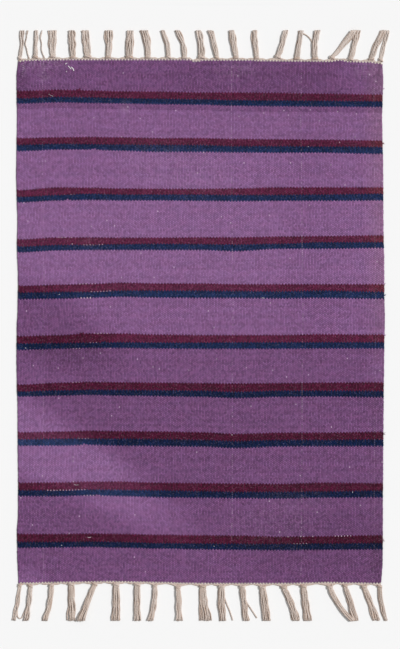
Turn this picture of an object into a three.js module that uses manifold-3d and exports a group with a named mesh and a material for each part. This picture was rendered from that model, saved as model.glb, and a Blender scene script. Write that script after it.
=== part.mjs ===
// A flat-woven kilim rug lying flat, with its warp ends knotted into a fringe at both ends.
//
// Millimetres. X runs across the rug, Y runs along it towards the top fringe, and Z points up
// from the surface that the rug lies on, which is Z = 0. The origin is the middle of the rug's
// outer box, on that surface. The rug is one cloth and two combs, one comb for each fringe.

import * as THREE from "three";
import * as BufferGeometryUtils from "three/addons/utils/BufferGeometryUtils.js";
import Module from "manifold-3d";

const wasm = await Module();
wasm.setup();

// Driving dimensions of the cloth: the straight lines that its four edges wander about
const CLOTH_THICKNESS = 3.2;
const LEFT_SELVEDGE_X = -462;
const RIGHT_SELVEDGE_X = 458;
const TOP_EDGE_Y = 667;
const BOTTOM_EDGE_Y = -647;

// Driving dimensions of the fringes. Each bundle is made a little too long, then cut level.
const FRINGE_TIP_Y = 745;
const TIP_SPARE = 6;
const KNOT_LENGTH = 7;
const KNOT_SWELL = 1.1;
const KNOT_FLATNESS = 0.62;
const KNOT_HEIGHT_MAX = 9.5;
const KNOT_SHOULDER = 0.7;
const NECK_SHARE = 0.9;
const STRAND_FLATNESS = 0.4;
const STRAND_HEIGHT_MAX = 6;
const TIP_HEIGHT_MAX = 4.5;

// The warps between the cloth and the knots
const HEADING_DEPTH = 3.5;
const HEADING_THICKNESS = 2.6;
const GATHER_SPREAD = 2.1;
const GATHER_HEIGHT = 2.4;

// Clearance between the cloth and each fringe, and the reach of the cuts that trim a fringe
const PIECE_GAP = 0.3;
const TRIM_REACH = 20;

// Steps of the faceting
const EDGE_STEP = 20;
const POINT_SPACING_MIN = 1;
const TASSEL_SIDES = 8;
const ROUTE_STEPS = 5;
const MERGE_DISTANCE = 1e-4;

// How high the middle of a bundle's section sits, as a share of its height: what would hang
// below the surface is pressed flat on it
const SECTION_SEAT = 0.4;

const WOOL_PURPLE = 0x80578a;
const COTTON_CREAM = 0xd2c0b0;

// How far each edge stands out from its straight line, at places along it
const LEFT_SELVEDGE = [
  { at: -647, out: -2.8 },
  { at: -566, out: -0.1 },
  { at: -515, out: 0.4 },
  { at: -478, out: -2.1 },
  { at: -402, out: -2.6 },
  { at: -289, out: -1.6 },
  { at: -200, out: -1.1 },
  { at: -150, out: 0.7 },
  { at: -74, out: 1.7 },
  { at: -11, out: 0.9 },
  { at: 52, out: -1.6 },
  { at: 120, out: -2.4 },
  { at: 203, out: 0.7 },
  { at: 261, out: -0.8 },
  { at: 316, out: 0.9 },
  { at: 379, out: 2.4 },
  { at: 442, out: 1.7 },
  { at: 523, out: 0.2 },
  { at: 581, out: 1.2 },
  { at: 631, out: 1.4 },
  { at: 664, out: -1.6 },
];
const RIGHT_SELVEDGE = [
  { at: -649, out: -4.6 },
  { at: -591, out: -1.1 },
  { at: -541, out: -0.6 },
  { at: -440, out: -0.4 },
  { at: -364, out: 0.1 },
  { at: -263, out: 0.9 },
  { at: -163, out: 1.6 },
  { at: -112, out: 2.4 },
  { at: -49, out: 2.9 },
  { at: 14, out: 4.4 },
  { at: 89, out: 3.2 },
  { at: 165, out: 2.7 },
  { at: 241, out: 0.9 },
  { at: 316, out: 0.6 },
  { at: 417, out: 0.1 },
  { at: 467, out: -1.4 },
  { at: 523, out: -2.6 },
  { at: 568, out: -1.1 },
  { at: 619, out: 0.1 },
  { at: 659, out: -1.4 },
];
const TOP_EDGE = [
  { at: -461, out: -3 },
  { at: -443, out: 0 },
  { at: -406, out: 1.3 },
  { at: -355, out: 2 },
  { at: -28, out: 2 },
  { at: -20, out: -1.7 },
  { at: -5, out: -1.7 },
  { at: 3, out: 0.8 },
  { at: 123, out: 0.8 },
  { at: 150, out: -0.5 },
  { at: 250, out: -1.7 },
  { at: 325, out: -2.5 },
  { at: 350, out: 0.8 },
  { at: 375, out: -3 },
  { at: 426, out: -4.2 },
  { at: 446, out: -6.8 },
  { at: 457, out: -8 },
];
const BOTTOM_EDGE = [
  { at: -460, out: 0.6 },
  { at: -430, out: 0.6 },
  { at: -380, out: -0.6 },
  { at: -305, out: -1.9 },
  { at: -230, out: -3.1 },
  { at: -154, out: -1.9 },
  { at: -103, out: -0.6 },
  { at: -28, out: 1.4 },
  { at: 23, out: 1.9 },
  { at: 224, out: 1.9 },
  { at: 275, out: 0.6 },
  { at: 325, out: -0.6 },
  { at: 375, out: 0.6 },
  { at: 454, out: 1.9 },
];

// Each bundle of the fringe, from left to right: the X of its knot, of its middle and of its
// tip, its width at the same three places, and how far its knot is from the cloth
const TOP_TASSELS = [
  { knot: -456, mid: -452, tip: -451, knotWide: 10, midWide: 11, tipWide: 10, knotOut: 8 },
  { knot: -433, mid: -441, tip: -436, knotWide: 4, midWide: 4, tipWide: 4, knotOut: 8 },
  { knot: -417, mid: -416, tip: -415, knotWide: 13, midWide: 10, tipWide: 13, knotOut: 8 },
  { knot: -396, mid: -403, tip: -401, knotWide: 4, midWide: 4, tipWide: 4, knotOut: 8 },
  { knot: -373, mid: -374, tip: -372, knotWide: 15, midWide: 20, tipWide: 22, knotOut: 9 },
  { knot: -323, mid: -324, tip: -326, knotWide: 15, midWide: 18, tipWide: 16, knotOut: 7 },
  { knot: -285, mid: -289, tip: -293, knotWide: 19, midWide: 22, tipWide: 20, knotOut: 8 },
  { knot: -234, mid: -231, tip: -231, knotWide: 15, midWide: 18, tipWide: 23, knotOut: 7 },
  { knot: -181, mid: -180, tip: -178, knotWide: 20, midWide: 21, tipWide: 18, knotOut: 7 },
  { knot: -134, mid: -135, tip: -143, knotWide: 15, midWide: 16, tipWide: 19, knotOut: 7 },
  { knot: -82, mid: -85, tip: -97, knotWide: 13, midWide: 14, tipWide: 13, knotOut: 7 },
  { knot: -42, mid: -45, tip: -60, knotWide: 14, midWide: 14, tipWide: 15, knotOut: 6 },
  { knot: 1, mid: 0, tip: -7, knotWide: 19, midWide: 16, tipWide: 13, knotOut: 8 },
  { knot: 40, mid: 33, tip: 23, knotWide: 12, midWide: 15, tipWide: 15, knotOut: 6 },
  { knot: 88, mid: 83, tip: 77, knotWide: 14, midWide: 18, tipWide: 18, knotOut: 7 },
  { knot: 140, mid: 137, tip: 135, knotWide: 13, midWide: 14, tipWide: 13, knotOut: 7 },
  { knot: 193, mid: 205, tip: 213, knotWide: 16, midWide: 14, tipWide: 13, knotOut: 10 },
  { knot: 241, mid: 247, tip: 253, knotWide: 17, midWide: 13, tipWide: 13, knotOut: 7 },
  { knot: 287, mid: 287, tip: 294, knotWide: 17, midWide: 15, tipWide: 16, knotOut: 7 },
  { knot: 330, mid: 360, tip: 387, knotWide: 14, midWide: 19, tipWide: 17, knotOut: 9 },
  { knot: 377, mid: 386, tip: 394, knotWide: 15, midWide: 14, tipWide: 18, knotOut: 6 },
  { knot: 429, mid: 442, tip: 459, knotWide: 16, midWide: 15, tipWide: 15, knotOut: 9 },
  { knot: 453, mid: 461, tip: 471, knotWide: 11, midWide: 14, tipWide: 13, knotOut: 9 },
];
const BOTTOM_TASSELS = [
  { knot: -456, mid: -462, tip: -470, knotWide: 11, midWide: 13, tipWide: 14, knotOut: 6 },
  { knot: -430, mid: -433, tip: -441, knotWide: 13, midWide: 12, tipWide: 14, knotOut: 8 },
  { knot: -377, mid: -381, tip: -394, knotWide: 14, midWide: 12, tipWide: 14, knotOut: 7 },
  { knot: -327, mid: -325, tip: -325, knotWide: 18, midWide: 16, tipWide: 20, knotOut: 6 },
  { knot: -268, mid: -286, tip: -303, knotWide: 15, midWide: 15, tipWide: 21, knotOut: 6 },
  { knot: -214, mid: -213, tip: -214, knotWide: 18, midWide: 18, tipWide: 20, knotOut: 8 },
  { knot: -161, mid: -161, tip: -161, knotWide: 18, midWide: 16, tipWide: 18, knotOut: 7 },
  { knot: -116, mid: -118, tip: -128, knotWide: 13, midWide: 14, tipWide: 15, knotOut: 9 },
  { knot: -58, mid: -56, tip: -55, knotWide: 14, midWide: 13, tipWide: 15, knotOut: 12 },
  { knot: 4, mid: 7, tip: 13, knotWide: 19, midWide: 22, tipWide: 30, knotOut: 8 },
  { knot: 52, mid: 52, tip: 56, knotWide: 18, midWide: 19, tipWide: 17, knotOut: 8 },
  { knot: 104, mid: 109, tip: 115, knotWide: 17, midWide: 16, tipWide: 18, knotOut: 8 },
  { knot: 155, mid: 160, tip: 166, knotWide: 18, midWide: 20, tipWide: 20, knotOut: 10 },
  { knot: 209, mid: 227, tip: 239, knotWide: 17, midWide: 18, tipWide: 23, knotOut: 11 },
  { knot: 258, mid: 263, tip: 269, knotWide: 17, midWide: 19, tipWide: 22, knotOut: 9 },
  { knot: 325, mid: 345, tip: 382, knotWide: 15, midWide: 15, tipWide: 15, knotOut: 12 },
  { knot: 363, mid: 377, tip: 389, knotWide: 13, midWide: 16, tipWide: 16, knotOut: 8 },
  { knot: 411, mid: 427, tip: 443, knotWide: 16, midWide: 17, tipWide: 22, knotOut: 9 },
  { knot: 450, mid: 454, tip: 466, knotWide: 13, midWide: 14, tipWide: 11, knotOut: 8 },
];

// Stands an edge out from its straight line by a smooth run between the places in its table
function standOut(table, at) {
  const next = table.findIndex((place) => place.at > at);
  if (next === 0) {
    return table[0].out;
  }
  if (next === -1) {
    return table[table.length - 1].out;
  }
  const before = table[next - 1];
  const after = table[next];
  const share = THREE.MathUtils.smoothstep(at, before.at, after.at);
  return THREE.MathUtils.lerp(before.out, after.out, share);
}

const leftX = (y) => LEFT_SELVEDGE_X - standOut(LEFT_SELVEDGE, y);
const rightX = (y) => RIGHT_SELVEDGE_X + standOut(RIGHT_SELVEDGE, y);
const topY = (x) => TOP_EDGE_Y + standOut(TOP_EDGE, x);
const bottomY = (x) => BOTTOM_EDGE_Y - standOut(BOTTOM_EDGE, x);

// The places along an edge where its outline has a point: even steps, and each table place
function edgePlaces(table, from, to) {
  const count = Math.ceil((to - from) / EDGE_STEP);
  const even = Array.from({ length: count + 1 }, (_, i) => from + ((to - from) * i) / count);
  const listed = table.map((place) => place.at).filter((at) => at > from && at < to);
  const apart = even.filter((at) => listed.every((other) => Math.abs(other - at) > POINT_SPACING_MIN));
  return [...new Set([from, ...apart, ...listed, to])].sort((a, b) => a - b);
}

const topLeft = { x: leftX(LEFT_SELVEDGE.at(-1).at), y: topY(LEFT_SELVEDGE_X) };
const topRight = { x: rightX(RIGHT_SELVEDGE.at(-1).at), y: topY(RIGHT_SELVEDGE_X) };
const bottomLeft = { x: leftX(LEFT_SELVEDGE[0].at), y: bottomY(LEFT_SELVEDGE_X) };
const bottomRight = { x: rightX(RIGHT_SELVEDGE[0].at), y: bottomY(RIGHT_SELVEDGE_X) };

const topPlaces = edgePlaces(TOP_EDGE, topLeft.x, topRight.x);
const bottomPlaces = edgePlaces(BOTTOM_EDGE, bottomLeft.x, bottomRight.x);
const leftPlaces = edgePlaces(LEFT_SELVEDGE, bottomLeft.y, topLeft.y).slice(1, -1);
const rightPlaces = edgePlaces(RIGHT_SELVEDGE, bottomRight.y, topRight.y).slice(1, -1);

function flatSolid(points, thickness) {
  const shape = new THREE.Shape(points);
  return new THREE.ExtrudeGeometry(shape, { depth: thickness, bevelEnabled: false });
}

// The cloth: its outline anticlockwise from the bottom left corner, one sheet thick
function clothGeometry() {
  const outline = [
    ...bottomPlaces.map((x) => new THREE.Vector2(x, bottomY(x))),
    ...rightPlaces.map((y) => new THREE.Vector2(rightX(y), y)),
    ...topPlaces.map((x) => new THREE.Vector2(x, topY(x))).reverse(),
    ...leftPlaces.map((y) => new THREE.Vector2(leftX(y), y)).reverse(),
  ];
  return flatSolid(outline, CLOTH_THICKNESS);
}

// A strip that follows a cloth edge, between two distances outwards from it
function stripGeometry(end, near, far, thickness) {
  const beside = (distance) => end.places.map(
    (x) => new THREE.Vector2(x, end.edgeY(x) + end.outward * distance),
  );
  return flatSolid([...beside(near), ...beside(far).reverse()], thickness);
}

// The sections of a bundle, as distances from the cloth edge: the warps gather to the knot,
// the knot swells, and the loose ends run on to the tip
function bundleSections(row, end) {
  const edge = end.edgeY(row.knot);
  const length = FRINGE_TIP_Y + TIP_SPARE - end.outward * edge;
  const knotStart = row.knotOut - KNOT_LENGTH / 2;
  const knotEnd = row.knotOut + KNOT_LENGTH / 2;
  const knotHigh = Math.min(row.knotWide * KNOT_FLATNESS, KNOT_HEIGHT_MAX);
  const at = (x, distance) => new THREE.Vector2(x, edge + end.outward * distance);
  const selvedge = row.knot < 0 ? end.places[0] : end.places.at(-1);
  const room = 2 * Math.abs(selvedge - row.knot);
  const spreadWide = Math.min(row.knotWide * GATHER_SPREAD, room);
  const bound = [
    { centre: at(row.knot, 2 * PIECE_GAP), wide: spreadWide, high: GATHER_HEIGHT },
    { centre: at(row.knot, knotStart), wide: row.knotWide, high: knotHigh * KNOT_SHOULDER },
    { centre: at(row.knot, row.knotOut), wide: row.knotWide * KNOT_SWELL, high: knotHigh },
  ];
  const middle = (knotEnd + length) / 2;
  const route = new THREE.SplineCurve([
    at(row.knot, knotEnd),
    at(row.mid, middle),
    at(row.tip, length),
  ]);
  const loose = route.getPoints(ROUTE_STEPS).map((centre, step) => {
    const share = step / ROUTE_STEPS;
    const wide = share < 0.5
      ? THREE.MathUtils.lerp(row.knotWide * NECK_SHARE, row.midWide, 2 * share)
      : THREE.MathUtils.lerp(row.midWide, row.tipWide, 2 * share - 1);
    const highest = THREE.MathUtils.lerp(STRAND_HEIGHT_MAX, TIP_HEIGHT_MAX, share);
    const high = Math.min(wide * STRAND_FLATNESS, highest);
    return { centre, wide, high };
  });
  return [...bound, ...loose];
}

// A closed cylinder with a row of corners for each section, drawn out along the bundle. Its
// lower corners are pressed flat on the surface.
function bundleGeometry(sections) {
  const steps = sections.length - 1;
  const bundle = new THREE.CylinderGeometry(1, 1, steps, TASSEL_SIDES, steps);
  const corner = bundle.getAttribute("position");
  for (let i = 0; i < corner.count; i++) {
    const index = Math.round(corner.getY(i) + steps / 2);
    const here = sections[index];
    const before = sections[Math.max(index - 1, 0)].centre;
    const after = sections[Math.min(index + 1, steps)].centre;
    const along = after.clone().sub(before).normalize();
    const across = (corner.getX(i) * here.wide) / 2;
    const up = here.high * (SECTION_SEAT + (1 - SECTION_SEAT) * corner.getZ(i));
    corner.setXYZ(
      i,
      here.centre.x + along.y * across,
      here.centre.y - along.x * across,
      Math.max(up, 0),
    );
  }
  return bundle;
}

function toSolid(geometry) {
  const bare = geometry.clone();
  bare.deleteAttribute("normal");
  bare.deleteAttribute("uv");
  const merged = BufferGeometryUtils.mergeVertices(bare, MERGE_DISTANCE);
  return new wasm.Manifold(new wasm.Mesh({
    numProp: 3,
    vertProperties: new Float32Array(merged.getAttribute("position").array),
    triVerts: new Uint32Array(merged.index.array),
  }));
}

function toGeometry(solid) {
  const mesh = solid.getMesh();
  const geometry = new THREE.BufferGeometry();
  geometry.setAttribute("position", new THREE.BufferAttribute(mesh.vertProperties, 3));
  geometry.setIndex(new THREE.BufferAttribute(mesh.triVerts, 1));
  geometry.computeVertexNormals();
  return geometry;
}

// What the scissors take off: a block past the line of the tips
function offcutGeometry(end) {
  const block = new THREE.BoxGeometry(3 * RIGHT_SELVEDGE_X, TRIM_REACH, 2 * TRIM_REACH);
  return block.translate(0, end.outward * (FRINGE_TIP_Y + TRIM_REACH / 2), 0);
}

// One fringe: the strip of bare warps along the cloth edge and all the bundles that grow out
// of it, joined into one comb, trimmed clear of the cloth and cut level at the tips
function combGeometry(end) {
  const heading = toSolid(stripGeometry(end, PIECE_GAP, HEADING_DEPTH, HEADING_THICKNESS));
  const bundles = end.tassels.map((row) => toSolid(bundleGeometry(bundleSections(row, end))));
  const comb = bundles.reduce((sum, bundle) => sum.add(bundle), heading);
  const clothSide = stripGeometry(end, -TRIM_REACH, PIECE_GAP, 2 * TRIM_REACH);
  clothSide.translate(0, 0, -TRIM_REACH);
  const trimmed = comb.subtract(toSolid(clothSide)).subtract(toSolid(offcutGeometry(end)));
  return toGeometry(trimmed);
}

const topEnd = {
  outward: 1,
  edgeY: topY,
  places: topPlaces,
  tassels: TOP_TASSELS,
};
const bottomEnd = {
  outward: -1,
  edgeY: bottomY,
  places: bottomPlaces,
  tassels: BOTTOM_TASSELS,
};

const wool = new THREE.MeshStandardMaterial({ color: WOOL_PURPLE, roughness: 0.95, metalness: 0 });
const cotton = new THREE.MeshStandardMaterial({ color: COTTON_CREAM, roughness: 0.9, metalness: 0 });

function part(name, geometry, material) {
  const mesh = new THREE.Mesh(geometry, material);
  mesh.name = name;
  return mesh;
}

const rug = new THREE.Group();
rug.name = "kilim_rug";
rug.add(part("cloth", clothGeometry(), wool));
rug.add(part("fringe_top", combGeometry(topEnd), cotton.clone()));
rug.add(part("fringe_bottom", combGeometry(bottomEnd), cotton.clone()));

export default rug;
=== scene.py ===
# %% [markdown]
# # A hand-woven kilim with knotted fringes
#
# A kilim is one flat cloth and nothing else. Cream cotton warps run the length of the rug, and
# dyed wool wefts are beaten down so hard over them that the warps vanish. Where the cloth ends
# the warps come out again, are knotted in bundles, and hang loose as the fringe.
#
# This lesson weaves it in that order: the plain sheet with its ribs, the colours pass by pass,
# the turns of the weft along the two sides, and then every warp end one by one.
#
# Lengths are in millimetres until a mesh is made, because a weaver counts in them.

# %% The frame
import math
import random

import bmesh
import bpy
import numpy as np
from mathutils import Matrix, Vector


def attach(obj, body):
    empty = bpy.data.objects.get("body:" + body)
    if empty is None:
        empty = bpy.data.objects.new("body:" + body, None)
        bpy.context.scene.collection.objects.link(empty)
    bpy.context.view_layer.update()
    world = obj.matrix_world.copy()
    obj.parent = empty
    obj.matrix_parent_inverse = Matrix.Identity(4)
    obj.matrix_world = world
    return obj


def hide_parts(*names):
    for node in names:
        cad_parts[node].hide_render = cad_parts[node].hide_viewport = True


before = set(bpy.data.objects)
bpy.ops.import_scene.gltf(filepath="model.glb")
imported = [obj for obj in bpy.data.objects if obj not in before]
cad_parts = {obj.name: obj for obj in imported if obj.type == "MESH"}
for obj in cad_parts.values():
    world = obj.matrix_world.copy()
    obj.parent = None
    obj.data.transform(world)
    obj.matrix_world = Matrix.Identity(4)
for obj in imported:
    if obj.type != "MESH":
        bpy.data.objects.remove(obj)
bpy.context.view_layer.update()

MM = 0.001
BODY = "root"

# %% [markdown]
# ## Looking straight down
#
# A rug is photographed flat, from above its middle, with the whole of it in view. A camera low
# over the floor would make its far corners bulge, so this one stands six metres up behind a
# long lens, as a photographer on a gantry would. The picture is 400 by 649 pixels, and each
# pixel covers 2.52 mm of the rug.

# %% The camera
PIXEL = 2.52
PICTURE_HEIGHT = 649
PICTURE_CENTRE = (-2.5, 2.5)
CAMERA_HEIGHT = 6000
SENSOR = 36


def shown(name, data):
    """A new object that holds a mesh, a lamp or a camera, and is part of the scene."""
    thing = bpy.data.objects.new(name, data)
    bpy.context.scene.collection.objects.link(thing)
    return thing


camera_data = bpy.data.cameras.new("camera_above")
camera_data.sensor_width = SENSOR
camera_data.lens = SENSOR * CAMERA_HEIGHT / (PIXEL * PICTURE_HEIGHT)
camera = shown("camera_above", camera_data)
camera.location = Vector((*PICTURE_CENTRE, CAMERA_HEIGHT)) * MM
bpy.context.scene.camera = camera
print("lens:", round(camera_data.lens, 1), "mm")

# %% [markdown]
# ## Nodes and colours
#
# Every material below is a graph of small nodes. One helper adds a node, sets what it is told
# and links what it is given, so that a recipe reads from top to bottom. A second one turns the
# hex colours that people write into the linear values that Blender works in.

# %% Helpers for materials
def linear(code):
    """An sRGB hex colour as linear red, green, blue and alpha."""
    shares = [int(code[i:i + 2], 16) / 255 for i in (1, 3, 5)]
    return (*[c / 12.92 if c <= 0.04045 else ((c + 0.055) / 1.055) ** 2.4 for c in shares], 1.0)


def add(tree, kind, *values, sockets=None, **settings):
    """Adds a node. The values go to its sockets in order, or by name where that is given, and
    each is a plain value, another node, or one output of a node."""
    node = tree.nodes.new("ShaderNode" + kind)
    for name, setting in settings.items():
        setattr(node, name, setting)
    for key, value in [*enumerate(values), *(sockets or {}).items()]:
        if isinstance(value, bpy.types.Node):
            value = value.outputs[0]
        if isinstance(value, bpy.types.NodeSocket):
            tree.links.new(value, node.inputs[key])
        else:
            node.inputs[key].default_value = value
    return node


def new_material(name):
    """A material whose tree holds nothing yet, and that tree."""
    material = bpy.data.materials.new(name)
    material.use_nodes = True
    material.node_tree.nodes.clear()
    return material, material.node_tree


print("the middle grey #808080 is", round(linear("#808080")[0], 3), "in linear light")

# %% [markdown]
# ## Floor and light
#
# The floor is a plain sheet of matt white, far wider than the view, so that nothing but the rug
# is there to look at. Like every shape below it starts from a bmesh operator, and one helper
# turns a finished bmesh into a mesh.

# %% The floor
FLOOR_HALF = 20000


def finished(bm, name):
    """The mesh of a finished shape, with its faces shaded smooth."""
    for face in bm.faces:
        face.smooth = True
    mesh = bpy.data.meshes.new(name)
    bm.to_mesh(mesh)
    bm.free()
    return mesh


bm = bmesh.new()
bmesh.ops.create_grid(bm, x_segments=1, y_segments=1, size=FLOOR_HALF * MM)
floor = shown("floor", finished(bm, "floor"))
print("the floor is", round(2 * FLOOR_HALF * MM), "m wide")

floor_paint, tree = new_material("matt_white_floor")
shader = add(tree, "BsdfPrincipled", sockets={
    "Base Color": linear("#f3f3f3"),
    "Roughness": 0.9,
    "Specular IOR Level": 0.2,
})
add(tree, "OutputMaterial", shader)
floor.data.materials.append(floor_paint)

# %% [markdown]
# The light is that of a studio: an even glow from all round, and one large soft lamp on the
# right, a little towards the top fringe, so that each bundle throws a narrow shadow on its
# left. It is a sun lamp, because that keeps the rug evenly lit from end to end. The plain view
# transform shows the colours as their hex values say.

# %% The light
GLOW = 0.38
LAMP_STRENGTH = 2.67
LAMP_SOFTNESS = 7
LAMP_WAY = (-0.74, -0.26, -0.95)

world = bpy.data.worlds.new("studio")
bpy.context.scene.world = world
world.use_nodes = True
world.node_tree.nodes["Background"].inputs["Color"].default_value = linear("#ffffff")
world.node_tree.nodes["Background"].inputs["Strength"].default_value = GLOW

lamp = bpy.data.lights.new("soft_lamp", "SUN")
lamp.energy = LAMP_STRENGTH
lamp.angle = math.radians(LAMP_SOFTNESS)
shown("soft_lamp", lamp).rotation_euler = Vector(LAMP_WAY).to_track_quat("-Z", "Y").to_euler()
bpy.context.scene.view_settings.view_transform = "Standard"
lamp_rise = math.atan2(-LAMP_WAY[2], math.hypot(LAMP_WAY[0], LAMP_WAY[1]))
print("the lamp stands", round(math.degrees(lamp_rise)), "degrees up")

# %% [markdown]
# ## Counting the weave
#
# The cloth is counted before it is drawn. There are 236 warps across 920 mm, so they stand
# 3.9 mm apart. A weft goes over one warp and under the next, and the pass after it does the
# opposite. Beaten down, each pass shows as a row of beads on every second warp, and the beads
# are two passes long, so they close over the warps completely.
#
# The colours repeat every 50 passes: 6 of navy, 8 of burgundy and 36 of purple. The first and
# last purple bands are cut a little shorter than the rest.

# %% Warps and passes
WARPS = 236
NAVY_PASSES = 6
BURGUNDY_PASSES = 8
PURPLE_PASSES = 36
FIRST_PASSES = 35
LAST_PASSES = 30
STRIPE_PAIRS = 10
REPEAT_PASSES = NAVY_PASSES + BURGUNDY_PASSES + PURPLE_PASSES
PASSES = FIRST_PASSES + STRIPE_PAIRS * REPEAT_PASSES - PURPLE_PASSES + LAST_PASSES

LEFT_X, RIGHT_X = -462, 458
TOP_Y, BOTTOM_Y = 667, -647
THICKNESS = 3.2
WARP_PITCH = (RIGHT_X - LEFT_X) / WARPS
PASS_PITCH = (TOP_Y - BOTTOM_Y) / PASSES
print(PASSES, "passes,", round(PASS_PITCH, 2), "mm apart; warps", round(WARP_PITCH, 2), "mm apart")

# %% [markdown]
# ## Edges that wander
#
# No weaver keeps a straight edge. The two sides breathe in and out by a few millimetres as the
# tension changes, and the ends step where a knot pulls the cloth. Each edge is a straight line
# and a short table of how far it stands out from that line at places along it. A smooth run
# joins one place to the next.

# %% The outline of the cloth
def run_through(places, values, at):
    """A smooth run through values at places, easing in and out between each two of them."""
    places = np.array(places, float)
    values = np.array(values, float)
    i = np.clip(np.searchsorted(places, at, side="right") - 1, 0, len(places) - 2)
    share = np.clip((at - places[i]) / (places[i + 1] - places[i]), 0, 1)
    return values[i] + (values[i + 1] - values[i]) * share * share * (3 - 2 * share)


LEFT_SELVEDGE = {
    "at": [-647, -566, -515, -478, -402, -289, -200, -150, -74, -11, 52,
           120, 203, 261, 316, 379, 442, 523, 581, 631, 664],
    "out": [-2.8, -0.1, 0.4, -2.1, -2.6, -1.6, -1.1, 0.7, 1.7, 0.9, -1.6,
            -2.4, 0.7, -0.8, 0.9, 2.4, 1.7, 0.2, 1.2, 1.4, -1.6],
}
RIGHT_SELVEDGE = {
    "at": [-649, -591, -541, -440, -364, -263, -163, -112, -49, 14,
           89, 165, 241, 316, 417, 467, 523, 568, 619, 659],
    "out": [-4.6, -1.1, -0.6, -0.4, 0.1, 0.9, 1.6, 2.4, 2.9, 4.4,
            3.2, 2.7, 0.9, 0.6, 0.1, -1.4, -2.6, -1.1, 0.1, -1.4],
}
TOP_EDGE = {
    "at": [-461, -443, -406, -355, -28, -20, -5, 3, 123, 150, 250, 325, 350, 375, 426, 446, 457],
    "out": [-3, 0, 1.3, 2, 2, -1.7, -1.7, 0.8, 0.8, -0.5, -1.7, -2.5, 0.8, -3, -4.2, -6.8, -8],
}
BOTTOM_EDGE = {
    "at": [-460, -430, -380, -305, -230, -154, -103, -28, 23, 224, 275, 325, 375, 454],
    "out": [0.6, 0.6, -0.6, -1.9, -3.1, -1.9, -0.6, 1.4, 1.9, 1.9, 0.6, -0.6, 0.6, 1.9],
}


def left_x(y):
    return LEFT_X - run_through(LEFT_SELVEDGE["at"], LEFT_SELVEDGE["out"], y)


def right_x(y):
    return RIGHT_X + run_through(RIGHT_SELVEDGE["at"], RIGHT_SELVEDGE["out"], y)


def top_y(x):
    return TOP_Y + run_through(TOP_EDGE["at"], TOP_EDGE["out"], x)


def bottom_y(x):
    return BOTTOM_Y - run_through(BOTTOM_EDGE["at"], BOTTOM_EDGE["out"], x)


for edge in (LEFT_SELVEDGE, RIGHT_SELVEDGE, TOP_EDGE, BOTTOM_EDGE):
    print("an edge wanders by", round(max(edge["out"]) - min(edge["out"]), 1), "mm")
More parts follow.
